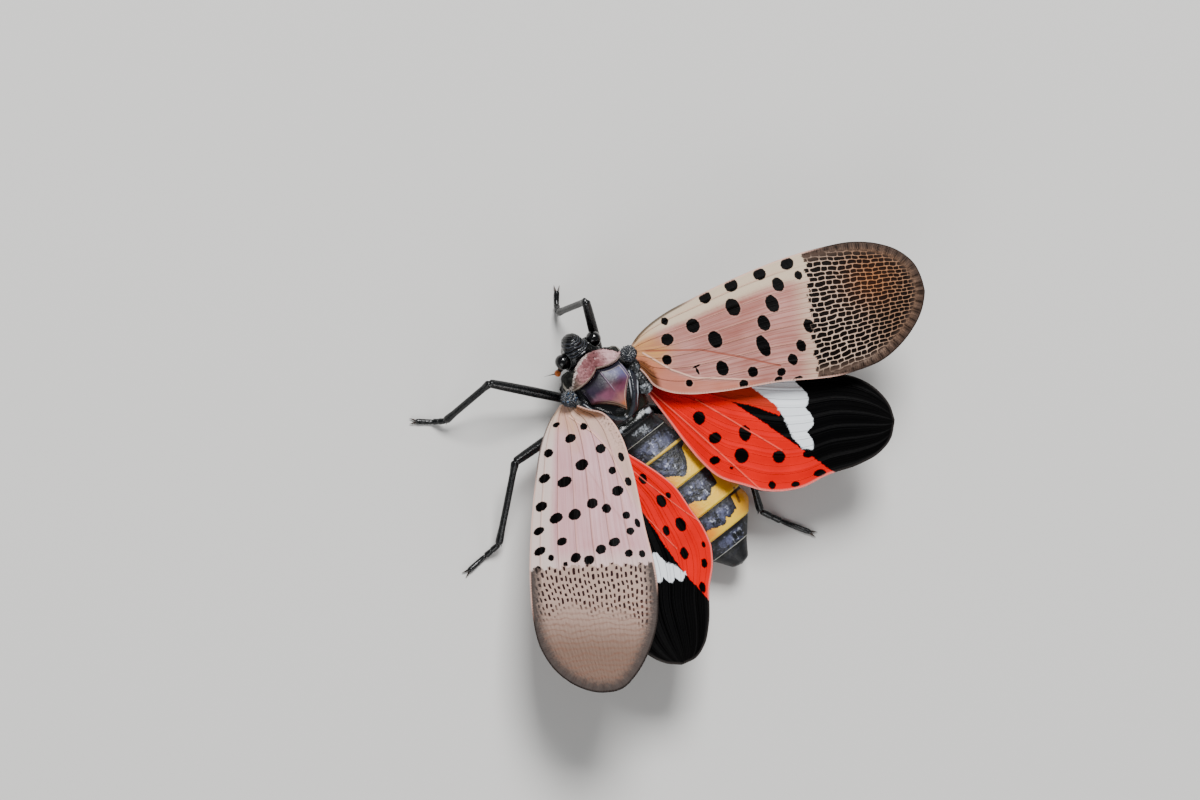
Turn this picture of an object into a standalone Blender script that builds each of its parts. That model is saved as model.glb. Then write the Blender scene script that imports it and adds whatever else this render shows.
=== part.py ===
"""Spotted lanternfly, life size, as a still museum model with its wings half open.

It stands on its six feet at z = 0, head towards -Y, tail towards +Y, back up, right side at -X.
Sizes are in millimetres, and MM turns them into metres where a mesh is made.
"""

import bmesh
import bpy
import numpy as np
from mathutils import Vector

MM = 0.001
GAP = 0.3
LEFT, RIGHT = 1, -1

# Head: stations are (y, half width, top, bottom), from the neck to the front knob. It sits a little to the right.
HEAD_SHIFT = (-0.18, 0.08, 0.0)
HEAD = [
    (-2.33, 1.20, 5.05, 2.75),
    (-2.65, 1.38, 5.30, 2.10),
    (-3.15, 1.28, 5.32, 1.95),
    (-3.65, 0.98, 5.22, 2.75),
    (-4.05, 0.72, 5.15, 3.70),
    (-4.32, 0.42, 5.00, 4.25),
]
EYE_PLACE = (1.42, -2.98, 4.45)
EYE_RADII = (0.50, 0.55, 0.58)
ANTENNA_BULB = (1.92, -2.46, 3.63)
ANTENNA_BULB_RADIUS = 0.30
ANTENNA_TIP = (2.60, -2.70, 3.90)
FACE_KEELS = (-0.42, 0.0, 0.42)
KEEL_RADIUS = 0.11
ROSTRUM_START = (0.0, -2.75, 1.30)
ROSTRUM_END = (0.0, 3.30, 1.05)
ROSTRUM_RADIUS = 0.27

# Thorax: the same stations. The pronotum and the mesonotum are plates that lie over it.
THORAX = [
    (-1.95, 1.55, 4.75, 2.90),
    (-1.60, 2.20, 4.95, 2.50),
    (-1.20, 2.38, 4.98, 2.10),
    (-0.40, 2.50, 5.10, 1.85),
    (0.70, 2.54, 5.24, 1.80),
    (1.90, 2.40, 5.24, 1.80),
    (3.00, 2.20, 5.00, 1.80),
    (4.00, 2.05, 4.70, 1.85),
]
# An edge is (place on the midline, slope, bend) against the distance from the midline.
PRONOTUM_HALF_WIDTH = 2.32
PRONOTUM_FRONT = (-2.30, 0.0, 0.28)
PRONOTUM_REAR = (-0.95, 0.55, -0.19)
PRONOTUM_TOP = (6.05, 0.0, -0.12)
MESONOTUM_HALF_WIDTH = 1.80
MESONOTUM_FRONT = (-0.65, 0.55, -0.19)
MESONOTUM_REAR = (2.55, -1.30, 0.22)
MESONOTUM_TOP = (6.25, 0.0, -0.09)
PLATE_THICKNESS = 0.55
PLATE_KEEL = 0.07
TEGULA_PLACE = (2.80, -0.42, 5.82)
TEGULA_RADII = (0.48, 0.55, 0.27)

# Abdomen: the same stations, and the hind edge of each ring.
ABDOMEN = [
    (4.30, 2.05, 4.50, 1.75),
    (5.20, 2.30, 4.40, 1.50),
    (7.00, 2.65, 4.30, 1.35),
    (9.60, 3.05, 4.25, 1.25),
    (12.30, 3.20, 4.15, 1.20),
    (14.30, 2.50, 3.80, 1.20),
    (15.60, 1.55, 3.30, 1.25),
    (17.05, 0.55, 2.60, 1.60),
]
ABDOMEN_RINGS = (5.2, 7.0, 9.6, 12.3, 14.3, 15.6, 17.05)
RING_STEP = 0.05
ABDOMEN_BEND = -0.4

# Wings: outlines run from root to tip, as (distance from the root, distance towards the front edge).
# Main veins are shares of the way from the front edge to the rear one, raised on the upper face.
WING_THICKNESS = 0.5
VEIN_RISE = 0.16
VEIN_HALF_WIDTH = 0.024
FOREWING_VEINS = (0.10, 0.26, 0.42, 0.56, 0.70, 0.85)
FOREWING_VEIN_END = 0.62
HINDWING_VEINS = (0.12, 0.26, 0.40, 0.54, 0.68, 0.84)
HINDWING_VEIN_END = 0.90
FOREWING_FRONT = [
    (0.0, 0.45), (0.9, 1.35), (1.9, 2.0), (3.1, 2.55), (5.4, 3.25), (9.4, 4.25), (12.8, 4.85), (15.3, 5.05),
]
FOREWING_REAR = [
    (0.0, -0.4), (0.8, -1.6), (1.3, -2.55), (2.3, -3.25), (3.7, -3.7), (5.6, -3.95), (10.2, -4.12),
]
# The right tip is flat and blunt. The left one curls down, so it is drawn narrower.
FRONT_TIP = {
    LEFT: [(17.8, 4.85), (19.8, 3.95), (21.2, 2.55), (21.85, 1.25), (22.0, 0.25)],
    RIGHT: [(17.8, 5.0), (19.6, 4.5), (20.9, 3.75), (21.95, 2.45), (22.25, 1.2), (22.28, 0.6)],
}
REAR_TIP = {
    LEFT: [(15.2, -4.23), (17.8, -3.7), (19.7, -2.75), (21.2, -1.5), (21.85, -0.6), (22.0, 0.0)],
    RIGHT: [(15.7, -4.5), (18.4, -3.95), (19.7, -3.2), (20.8, -2.25), (21.7, -1.1), (22.15, -0.1), (22.28, 0.35)],
}
HINDWING_FRONT = [
    (0.0, 0.4), (3.0, 1.4), (7.0, 2.0), (11.6, 2.6), (13.7, 3.0), (15.2, 2.9), (16.7, 2.3),
    (17.9, 1.2), (18.4, 0.15),
]
HINDWING_REAR = [
    (0.0, -0.4), (1.7, -2.1), (3.35, -3.8), (4.7, -5.0), (5.9, -5.8), (8.2, -6.25), (9.2, -6.4),
    (12.2, -5.8), (14.0, -4.6), (16.2, -3.5), (17.6, -2.4), (18.3, -1.2), (18.4, -0.15),
]

# The left hindwing is part folded: its rear half is narrowed by these shares at the root and beyond.
SPREAD = (1.0, 1.0)
HINDWING_FOLD = (0.70, 0.84)
FOLD_REACH = 11.0
FOREWING_CAMBER = 0.4
HINDWING_CAMBER = 0.2

# Each wing: side, root, sweep from the tail, lift, and roll at root and tip, front edge down.
WINGS = {
    "forewing_left": (LEFT, (3.05, -0.3, 4.80), 30.5, 14.0, (22.0, 16.0)),
    "forewing_right": (RIGHT, (2.95, -0.3, 4.80), 63.5, 10.5, (4.0, 0.0)),
    "hindwing_left": (LEFT, (2.90, 2.4, 4.15), 17.0, 8.0, (14.0, -4.0)),
    "hindwing_right": (RIGHT, (2.75, 2.4, 4.05), 44.0, 8.0, (0.0, 0.0)),
}

# Each leg: side, place of the coxa along the body, knee, ankle and toe.
COXA_REACH = (0.75, 1.65)
COXA_HEIGHT = 1.15
LEGS = {
    "leg_front_left": (LEFT, -0.15, (6.50, -4.9, 4.1), (10.27, -4.75, 0.9), (11.96, -6.1, 0.17)),
    "leg_front_right": (RIGHT, -1.0, (2.70, -5.4, 5.3), (1.49, -6.1, 0.9), (2.60, -7.5, 0.17)),
    "leg_middle_left": (LEFT, 1.1, (8.47, 0.8, 3.7), (12.72, 4.9, 0.9), (15.64, 5.1, 0.17)),
    "leg_middle_right": (RIGHT, 0.8, (8.30, 1.2, 3.7), (11.2, 6.4, 0.9), (13.6, 7.8, 0.17)),
    "leg_hind_left": (LEFT, 2.8, (6.20, 8.3, 3.5), (5.6, 14.6, 0.95), (7.8, 17.0, 0.17)),
    "leg_hind_right": (RIGHT, 2.8, (6.60, 8.2, 3.5), (4.54, 14.9, 0.95), (6.85, 18.6, 0.17)),
}
HIND_SPINES = (0.35, 0.55, 0.75)
SPINE_LENGTH = 0.5
SPINE_RADIUS = 0.1
CLAW_LENGTH = 0.42
CLAW_SPREAD = 0.22
LEG_RADII = {"coxa": 0.40, "femur": 0.38, "knee": 0.36, "tibia": 0.27, "ankle": 0.30, "toe": 0.26}

# Finishes: sRGB colour and roughness.
BLACK = ((22, 22, 24), 0.35)
EYE_BLACK = ((12, 10, 10), 0.08)
ORANGE = ((225, 100, 25), 0.4)
DUSTY_PINK = ((190, 150, 150), 0.6)
SHIELD_PURPLE = ((130, 105, 130), 0.5)
PALE_BLUE = ((90, 105, 120), 0.5)
WING_PINK = ((203, 158, 150), 0.6)
WING_RED = ((226, 45, 24), 0.5)
BANDED = ((120, 95, 50), 0.5)


def clear_scene():
    for old in list(bpy.data.objects):
        bpy.data.objects.remove(old)


def spline(knots, values, at):
    """Cubic curve through the values at the knots, each slope taken from its neighbours."""
    knots, values, at = (np.asarray(item, float) for item in (knots, values, at))
    slopes = np.gradient(values, knots, axis=0)
    span = np.clip(np.searchsorted(knots, at, side="right") - 1, 0, len(knots) - 2)
    width = (knots[span + 1] - knots[span])[:, None]
    t = (at - knots[span])[:, None] / width
    ends = values[span] * (1 + 2 * t) * (1 - t) ** 2 + values[span + 1] * t**2 * (3 - 2 * t)
    return ends + width * (slopes[span] * t * (1 - t) ** 2 - slopes[span + 1] * t**2 * (1 - t))


def curve(points, fractions):
    """A smooth curve through the points, read at fractions of its length."""
    points = np.asarray(points, float)
    steps = np.linalg.norm(np.diff(points, axis=0), axis=1)
    length = np.concatenate([[0], np.cumsum(steps)])
    return spline(length / length[-1], points, fractions)


def material(name, finish):
    colour, roughness = finish
    made = bpy.data.materials.new(name)
    made.use_nodes = True
    shader = made.node_tree.nodes["Principled BSDF"]
    linear = [(part / 255) ** 2.2 for part in colour]
    shader.inputs["Base Color"].default_value = (*linear, 1)
    shader.inputs["Roughness"].default_value = roughness
    return made


def add_solid(name, points, faces, finish):
    """One closed mesh with its faces turned outwards, as an object with its own material."""
    mesh = bpy.data.meshes.new(name)
    mesh.from_pydata([tuple(point) for point in np.asarray(points) * MM], [], faces)
    shell = bmesh.new()
    shell.from_mesh(mesh)
    bmesh.ops.recalc_face_normals(shell, faces=shell.faces)
    shell.to_mesh(mesh)
    shell.free()
    mesh.materials.append(material(name, finish))
    mesh.shade_smooth()
    mesh.set_sharp_from_angle(angle=np.radians(40))
    made = bpy.data.objects.new(name, mesh)
    bpy.context.scene.collection.objects.link(made)
    return made


def lofted(rings):
    """Points and faces of a skin over the rings, each end closed by a fan round its middle."""
    rings = np.asarray(rings)
    count, sides = rings.shape[:2]
    index = np.arange(count * sides).reshape(count, sides)
    following = np.roll(index, -1, axis=1)
    walls = np.stack([index[:-1], following[:-1], following[1:], index[1:]], axis=-1).reshape(-1, 4)
    faces = walls.tolist()
    points = rings.reshape(-1, 3)
    for row, end in ((0, count * sides), (-1, count * sides + 1)):
        points = np.vstack([points, rings[row].mean(axis=0)])
        faces += [[a, b, end] for a, b in zip(index[row], following[row])]
    return points, faces


def body_rings(stations, places, swell, power, sides, bend):
    """Upright rings along the body: rounded boxes whose sizes run smoothly between the stations."""
    stations = np.array(stations)
    half_width, top, bottom = spline(stations[:, 0], stations[:, 1:], places).T
    turn = np.linspace(0, 2 * np.pi, sides, endpoint=False)
    across = np.sign(np.cos(turn)) * np.abs(np.cos(turn)) ** (2 / power)
    upward = np.sign(np.sin(turn)) * np.abs(np.sin(turn)) ** (2 / power)
    middle, half_height = (top + bottom) / 2, (top - bottom) / 2
    share = (places - places[0]) / (places[-1] - places[0])
    x = np.outer(half_width * swell, across) + (bend * share)[:, None]
    z = middle[:, None] + np.outer(half_height * swell, upward)
    y = np.broadcast_to(np.asarray(places)[:, None], x.shape)
    return np.stack([x, y, z], axis=-1)


def ball(centre, radii, sides=16, rows=9):
    """An ellipsoid as rings from pole to pole, the poles being small flats."""
    tilt = np.linspace(0.12, np.pi - 0.12, rows)[:, None]
    turn = np.linspace(0, 2 * np.pi, sides, endpoint=False)[None, :]
    shape = np.broadcast_arrays(np.sin(tilt) * np.cos(turn), np.sin(tilt) * np.sin(turn), np.cos(tilt))
    return lofted(np.stack(shape, axis=-1) * radii + centre)


def tube_rings(path, radii, sides):
    """Rings square to a path, each turned as little as possible from the one before."""
    path = np.asarray(path, float)
    heading = np.gradient(path, axis=0)
    heading /= np.linalg.norm(heading, axis=1, keepdims=True)
    side = np.cross(heading[0], (0.3, 0.2, 1.0))
    turn = np.linspace(0, 2 * np.pi, sides, endpoint=False)[:, None]
    rings = []
    for centre, forward, radius in zip(path, heading, radii):
        side = side - forward * side.dot(forward)
        side /= np.linalg.norm(side)
        third = np.cross(forward, side)
        rings.append(centre + radius * (np.cos(turn) * side + np.sin(turn) * third))
    return np.array(rings)


def sheet(upper, lower):
    """Points and faces of a thin solid between two grids, both split along the same diagonals."""
    rows, columns = upper.shape[:2]
    index = np.arange(rows * columns).reshape(rows, columns)
    a, b, c, d = index[:-1, :-1], index[1:, :-1], index[1:, 1:], index[:-1, 1:]
    halves = np.concatenate([np.stack([a, b, c], -1), np.stack([a, c, d], -1)]).reshape(-1, 3)
    rim = np.concatenate([index[:-1, 0], index[-1, :-1], index[:0:-1, -1], index[0, :0:-1]])
    after, below = np.roll(rim, -1), rows * columns
    edge = np.concatenate(
        [np.stack([rim, after, after + below], -1), np.stack([rim, after + below, rim + below], -1)]
    )
    faces = np.concatenate([halves, halves[:, ::-1] + below, edge])
    return np.concatenate([upper.reshape(-1, 3), lower.reshape(-1, 3)]), faces.tolist()


def body_part(name, stations, places, finish, swell=1.0, power=2.0, sides=20, bend=0.0):
    points, faces = lofted(body_rings(stations, places, swell, power, sides, bend))
    return add_solid(name, points, faces, finish)


def cut_away(whole, points, faces):
    """Takes a closed shape out of a solid."""
    cutter = add_solid("cutter", points, faces, BLACK)
    cutter.hide_render = True
    cutter.display_type = "WIRE"
    cut = whole.modifiers.new("cut", "BOOLEAN")
    cut.operation = "DIFFERENCE"
    cut.solver = "MANIFOLD"
    cut.object = cutter
    bpy.context.view_layer.objects.active = whole
    bpy.ops.object.modifier_apply(modifier=cut.name)
    bpy.data.objects.remove(cutter)


def fuse(whole, pieces):
    """Joins closed shapes to a solid by one union, and keeps only the largest surface of the result."""
    joined = bpy.data.collections.new("joined")
    bpy.context.scene.collection.children.link(joined)
    for points, faces in pieces:
        piece = add_solid("piece", points, faces, BLACK)
        bpy.context.scene.collection.objects.unlink(piece)
        joined.objects.link(piece)
    union = whole.modifiers.new("union", "BOOLEAN")
    union.operand_type = "COLLECTION"
    union.operation = "UNION"
    union.collection = joined
    bpy.context.view_layer.objects.active = whole
    bpy.ops.object.modifier_apply(modifier=union.name)
    for piece in list(joined.objects):
        bpy.data.objects.remove(piece)
    bpy.data.collections.remove(joined)
    keep_largest(whole)


def shift(made, by):
    for corner in made.data.vertices:
        corner.co += Vector(by) * MM


def keep_largest(whole):
    shell = bmesh.new()
    shell.from_mesh(whole.data)
    left, surfaces = set(shell.verts), []
    while left:
        reached, edge = set(), [left.pop()]
        while edge:
            corner = edge.pop()
            reached.add(corner)
            near = {line.other_vert(corner) for line in corner.link_edges} & left
            left -= near
            edge += near
        surfaces.append(reached)
    scraps = set(shell.verts) - max(surfaces, key=len)
    bmesh.ops.delete(shell, geom=list(scraps), context="VERTS")
    shell.to_mesh(whole.data)
    shell.free()


def mirrored(place, side):
    return np.array(place) * (side, 1, 1)


def add_head():
    places = np.linspace(HEAD[0][0], HEAD[-1][0], 11)
    stations = sorted(HEAD)
    head = body_part("head", stations, places[::-1], BLACK, power=2.4)
    face = np.linspace(-4.25, -3.10, 7)
    chin = spline(np.array(stations)[:, 0], np.array(stations)[:, 3:], face)[:, 0]
    keels = []
    for offset in FACE_KEELS:
        reach = offset * np.linspace(0.6, 1.0, 7)
        path = np.stack([reach, face, chin + 0.06 + np.abs(offset) * 0.12], axis=-1)
        keels.append(lofted(tube_rings(path, np.full(7, KEEL_RADIUS), 6)))
    for side, word in ((LEFT, "left"), (RIGHT, "right")):
        centre = mirrored(EYE_PLACE, side)
        cut_away(head, *ball(centre, np.array(EYE_RADII) + GAP))
        add_solid(f"eye_{word}", *ball(centre, EYE_RADII), EYE_BLACK)
        bulb, tip = mirrored(ANTENNA_BULB, side), mirrored(ANTENNA_TIP, side)
        cut_away(head, *ball(bulb, np.full(3, ANTENNA_BULB_RADIUS + GAP)))
        path = bulb + np.outer([-0.9, -0.6, 0, 0.6, 0.9], (tip - bulb) * 0.24)
        path = np.vstack([path, bulb + np.outer([0.45, 0.75, 1.0], tip - bulb)])
        swell = ANTENNA_BULB_RADIUS * np.array([0.45, 0.8, 1.0, 0.8, 0.5, 0.3, 0.22, 0.12])
        add_solid(f"antenna_{word}", *lofted(tube_rings(path, swell, 12)), ORANGE)
    fuse(head, keels)
    for name in ("head", "eye_left", "eye_right", "antenna_left", "antenna_right"):
        shift(bpy.data.objects[name], HEAD_SHIFT)


def add_rostrum():
    path = np.linspace(ROSTRUM_START, ROSTRUM_END, 6)
    radii = ROSTRUM_RADIUS * np.array([1.1, 1.05, 1.0, 0.95, 0.9, 0.6])
    add_solid("rostrum", *lofted(tube_rings(path, radii, 10)), BLACK)


def add_plate(name, half_width, front, rear, top, finish, columns=17, rows=7):
    """A back plate between its curved front and rear edges, with a keel raised on its midline."""
    x = np.linspace(-half_width, half_width, columns)
    powers = np.stack([np.ones(columns), np.abs(x), x**2])
    first, last, height = (np.array(edge) @ powers for edge in (front, rear, top))
    share = np.linspace(0, 1, rows)[:, None]
    y = first + (last - first) * share
    height[columns // 2] += PLATE_KEEL
    z = np.broadcast_to(height, y.shape)
    upper = np.stack([np.broadcast_to(x, y.shape), y, z], axis=-1)
    lower = upper - (0, 0, PLATE_THICKNESS)
    lower[:, columns // 2, 2] -= PLATE_KEEL
    add_solid(name, *sheet(upper, lower), finish)


def add_thorax():
    body_part("thorax", THORAX, np.linspace(THORAX[0][0], THORAX[-1][0], 12), BLACK, power=3.0)
    add_plate("pronotum", PRONOTUM_HALF_WIDTH, PRONOTUM_FRONT, PRONOTUM_REAR, PRONOTUM_TOP, DUSTY_PINK)
    add_plate(
        "mesonotum", MESONOTUM_HALF_WIDTH, MESONOTUM_FRONT, MESONOTUM_REAR, MESONOTUM_TOP, SHIELD_PURPLE
    )
    for side, word in ((LEFT, "left"), (RIGHT, "right")):
        add_solid(f"tegula_{word}", *ball(mirrored(TEGULA_PLACE, side), TEGULA_RADII), PALE_BLUE)


def add_abdomen():
    """Rings that each widen to their hind edge and step in where the next one starts."""
    places, swell = [], []
    start = ABDOMEN[0][0]
    for end in ABDOMEN_RINGS:
        places += [start + 0.02, (start + end) / 2, end - 0.14]
        swell += [1 - RING_STEP, 1.0, 1 + RING_STEP]
        start = end
    places, swell = np.array(places), np.array(swell)
    body_part("abdomen", ABDOMEN, places, BANDED, swell=swell, bend=ABDOMEN_BEND)


def add_wing(name, front, rear, veins, vein_end, camber, narrowing, finish, rows=16):
    """A thin sheet over the wing's outline, its veins fanning from the root, set by sweep, lift and roll."""
    side, root, sweep, lift, roll = WINGS[name]
    sweep, lift, roll = np.radians(sweep), np.radians(lift), np.radians(roll)
    share = np.linspace(0, 1, rows)
    beside = [vein + shift * VEIN_HALF_WIDTH for vein in veins for shift in (-1, 0, 1)]
    across = np.array([0, *beside, 1])[:, None]
    crest = np.array([0, *([0, 1, 0] * len(veins)), 0])[:, None]
    flat = curve(front, share)[:, None] * (1 - across) + curve(rear, share)[:, None] * across
    out, forward = flat[..., :1], flat[..., 1:]
    fold = narrowing[0] + (narrowing[1] - narrowing[0]) * np.clip(out / FOLD_REACH, 0, 1) ** 2
    forward = np.where(forward < 0, forward * fold, forward)
    height = camber * np.sin(np.pi * across) * np.sin(np.pi * share)[:, None, None]
    axis = np.array([side * np.sin(sweep) * np.cos(lift), np.cos(sweep) * np.cos(lift), np.sin(lift)])
    chord = np.array([side * np.cos(sweep), -np.sin(sweep), 0])
    normal = -side * np.cross(axis, chord)
    turn = (roll[0] + (roll[1] - roll[0]) * share)[:, None, None]
    chord_turned = chord * np.cos(turn) - normal * np.sin(turn)
    normal_turned = normal * np.cos(turn) + chord * np.sin(turn)
    middle = mirrored(root, side) + out * axis + forward * chord_turned + height * normal_turned
    half = WING_THICKNESS / 2 * normal_turned
    fade = (np.clip((vein_end - share) / 0.12, 0, 1) * np.clip(share / 0.1, 0, 1))[:, None, None]
    veined = VEIN_RISE * crest * fade * normal_turned
    add_solid(name, *sheet(middle + half + veined, middle - half), finish)


def add_wings():
    for side, word, narrowing in ((LEFT, "left", HINDWING_FOLD), (RIGHT, "right", SPREAD)):
        front, rear = FOREWING_FRONT + FRONT_TIP[side], FOREWING_REAR + REAR_TIP[side]
        fore = (front, rear, FOREWING_VEINS, FOREWING_VEIN_END)
        hind = (HINDWING_FRONT, HINDWING_REAR, HINDWING_VEINS, HINDWING_VEIN_END)
        add_wing(f"forewing_{word}", *fore, FOREWING_CAMBER, SPREAD, WING_PINK)
        add_wing(f"hindwing_{word}", *hind, HINDWING_CAMBER, narrowing, WING_RED)


def add_leg(name):
    """Coxa, femur, tibia and tarsus as one jointed tube, its sole a flat on the floor."""
    side, place, knee, ankle, toe = LEGS[name]
    coxa = [(reach, place, COXA_HEIGHT) for reach in COXA_REACH]
    knee, ankle, toe = (np.array(joint) for joint in (knee, ankle, toe))
    sole = ankle + (toe - ankle) * 0.45
    sole[2] = toe[2]
    path, radii = [coxa[0]], [LEG_RADII["coxa"] * 0.8]
    bones = ((np.array(coxa[1]), knee, "coxa", "femur"), (knee, ankle, "knee", "tibia"))
    for start, end, first, along in bones:
        path += [start, start + (end - start) * 0.12, (start + end) / 2, start + (end - start) * 0.9]
        radii += [LEG_RADII[first], LEG_RADII[along], LEG_RADII[along], LEG_RADII[along]]
    path += [ankle, sole, toe + (sole - toe) * 0.2, toe]
    radii += [LEG_RADII["ankle"], LEG_RADII["toe"], LEG_RADII["toe"], LEG_RADII["toe"] * 0.7]
    rings = tube_rings(np.array(path) * (side, 1, 1), radii, 10)
    rings[..., 2] = np.maximum(rings[..., 2], 0)
    leg = add_solid(name, *lofted(rings), BLACK)
    knee, ankle, toe, sole = (mirrored(joint, side) for joint in (knee, ankle, toe, sole))
    ahead = (toe - sole) / np.linalg.norm(toe - sole)
    outward = np.cross(ahead, (0, 0, 1))
    pieces = []
    for turn in (-1, 1):
        tip = toe + ahead * CLAW_LENGTH + outward * CLAW_SPREAD * turn - (0, 0, 0.08)
        start = toe - ahead * 0.15 + outward * 0.06 * turn
        pieces.append(lofted(tube_rings(np.linspace(start, tip, 3), (0.11, 0.09, 0.04), 6)))
    if "hind" in name:
        shin = (ankle - knee) / np.linalg.norm(ankle - knee)
        beside = np.cross(shin, (0, 0, side))
        for share in HIND_SPINES:
            start = knee + (ankle - knee) * share
            tip = start + (beside + shin * 0.8) * SPINE_LENGTH
            pieces.append(lofted(tube_rings(np.linspace(start, tip, 3), (0.13, SPINE_RADIUS, 0.03), 6)))
    fuse(leg, pieces)


def stand_on_origin():
    """Moves the whole model so that the middle of its box is over the origin, soles at z = 0."""
    corners = np.array([corner.co for made in bpy.data.objects for corner in made.data.vertices])
    middle = (corners.min(axis=0) + corners.max(axis=0)) / 2
    for made in bpy.data.objects:
        shift(made, (-middle[0] / MM, -middle[1] / MM, 0))


def build():
    clear_scene()
    add_head()
    add_rostrum()
    add_thorax()
    add_abdomen()
    add_wings()
    for name in LEGS:
        add_leg(name)
    stand_on_origin()


build()
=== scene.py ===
"""Spotted lanternfly at life size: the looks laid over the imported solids, piece by piece."""

import bpy
import numpy as np
from mathutils import Matrix, Vector


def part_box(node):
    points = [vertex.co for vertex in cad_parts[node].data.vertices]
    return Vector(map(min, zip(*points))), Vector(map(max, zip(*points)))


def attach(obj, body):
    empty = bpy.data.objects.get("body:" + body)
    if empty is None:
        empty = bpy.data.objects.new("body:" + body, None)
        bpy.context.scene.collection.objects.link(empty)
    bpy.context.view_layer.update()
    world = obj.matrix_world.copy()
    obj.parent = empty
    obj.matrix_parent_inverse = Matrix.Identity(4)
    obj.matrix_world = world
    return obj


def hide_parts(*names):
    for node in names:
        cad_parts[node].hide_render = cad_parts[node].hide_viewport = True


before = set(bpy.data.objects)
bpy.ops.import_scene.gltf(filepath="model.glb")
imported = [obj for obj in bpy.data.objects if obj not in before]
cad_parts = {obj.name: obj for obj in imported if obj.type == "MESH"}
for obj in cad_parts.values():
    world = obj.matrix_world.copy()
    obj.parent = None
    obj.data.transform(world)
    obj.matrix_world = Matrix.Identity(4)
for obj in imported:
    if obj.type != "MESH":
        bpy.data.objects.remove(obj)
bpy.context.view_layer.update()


# The model stands on a plain pale board, in soft light from a large panel and the room.
# The board is only the stage: the insect rests on it with the flats under its six feet.
bpy.ops.mesh.primitive_plane_add(size=4.0, location=(0, 0, 0))
board = bpy.context.object
board.name = "floor"
board_paint = bpy.data.materials.new("pale_board")
board_paint.use_nodes = True
board_shader = board_paint.node_tree.nodes["Principled BSDF"]
board_shader.inputs["Base Color"].default_value = (0.62, 0.61, 0.59, 1)
board_shader.inputs["Roughness"].default_value = 0.8
board.data.materials.append(board_paint)

PANELS = {
    "window_panel": ((-0.25, -0.30, 0.55), 0.26, 7.4),
    "side_panel": ((0.55, 0.25, 0.40), 0.40, 1.7),
    "back_panel": ((0.0, 0.60, 0.35), 0.30, 1.3),
}
for name, (place, size, power) in PANELS.items():
    lamp = bpy.data.lights.new(name, "AREA")
    lamp.size, lamp.energy = size, power
    panel = bpy.data.objects.new(name, lamp)
    panel.location = place
    panel.rotation_euler = Vector(place).to_track_quat("Z", "Y").to_euler()
    bpy.context.scene.collection.objects.link(panel)
room = bpy.data.worlds.new("pale_room")
room.use_nodes = True
room.node_tree.nodes["Background"].inputs["Color"].default_value = (0.9, 0.95, 1.0, 1)
room.node_tree.nodes["Background"].inputs["Strength"].default_value = 0.24
bpy.context.scene.world = room


# The camera looks down on the back, tipped 12 degrees towards the insect's left side.
# Up in the picture lies between the head and the right side, so the tail points down and right.
TILT = np.radians(12)
DISTANCE = 0.2434
FRAME_WIDTH = 0.0876
AIM_HEIGHT, NECK_TO_ORIGIN = 0.0062, 0.00195
PICTURE_SHIFT = (4 / 1200, 20 / 1200)
low, high = (Vector(corner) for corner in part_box("thorax"))
home = Vector(((low.x + high.x) / 2, low.y + NECK_TO_ORIGIN, 0))
toward = Vector((np.sin(TILT), 0, np.cos(TILT)))
across = Vector((-0.8, 0.6, 0))
across = (across - toward * across.dot(toward)).normalized()
upward = toward.cross(across)
aim = home + Vector((0, 0, AIM_HEIGHT))
aim -= (across * PICTURE_SHIFT[0] + upward * PICTURE_SHIFT[1]) * FRAME_WIDTH
lens = bpy.data.cameras.new("camera")
lens.lens, lens.sensor_width = 100, 36
lens.clip_start = 0.01
camera = bpy.data.objects.new("camera", lens)
turned = Matrix((across, upward, toward)).transposed().to_4x4()
camera.matrix_world = Matrix.Translation(aim + toward * DISTANCE) @ turned
bpy.context.scene.collection.objects.link(camera)
bpy.context.scene.camera = camera


# The hindwings are thin membranes, red towards the body, banded white and black beyond, and
# pleated along their veins so that they fold like a fan under the forewings.
MM = 0.001
LEFT, RIGHT = 1, -1
HINDWING_FRONT = [
    (0.0, 0.4), (3.0, 1.4), (7.0, 2.0), (11.6, 2.6), (13.7, 3.0), (15.2, 2.9), (16.7, 2.3),
    (17.9, 1.2), (18.4, 0.15),
]
HINDWING_REAR = [
    (0.0, -0.4), (1.7, -2.1), (3.35, -3.8), (4.7, -5.0), (5.9, -5.8), (8.2, -6.25), (9.2, -6.4),
    (12.2, -5.8), (14.0, -4.6), (16.2, -3.5), (17.6, -2.4), (18.3, -1.2), (18.4, -0.15),
]
HINDWING_VEINS = (0.12, 0.26, 0.40, 0.54, 0.68, 0.84)
HINDWING_PLEAT, HINDWING_CREST, PLEATS = 0.022, 0.05, 7
HINDWING_CAMBER, HINDWING_SPOT_SLANT = 0.2, 0.35
SPREAD, FOLDED, FOLD_REACH = (1.0, 1.0), (0.70, 0.84), 11.0
MEMBRANE, RIM_THINNESS = 0.16, 0.35
RIM_ACROSS, RIM_ALONG = 0.02, 0.012
EDGE_POINTS = 120


def spline(knots, values, at):
    """Cubic through the values at the knots, each slope being that of its two neighbours."""
    knots, values, at = (np.asarray(item, float) for item in (knots, values, at))
    slopes = np.gradient(values, knots, axis=0)
    span = np.clip(np.searchsorted(knots, at, side="right") - 1, 0, len(knots) - 2)
    width = (knots[span + 1] - knots[span])[:, None]
    t = (at - knots[span])[:, None] / width
    ends = values[span] * (1 + 2 * t) * (1 - t) ** 2 + values[span + 1] * t**2 * (3 - 2 * t)
    return ends + width * (slopes[span] * t * (1 - t) ** 2 - slopes[span + 1] * t**2 * (1 - t))


def curve(points, fractions):
    """The spline through the points, read at fractions of the length of the lines between them."""
    points = np.asarray(points, float)
    length = np.concatenate([[0], np.cumsum(np.linalg.norm(np.diff(points, axis=0), axis=1))])
    return spline(length / length[-1], points, fractions)


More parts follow.
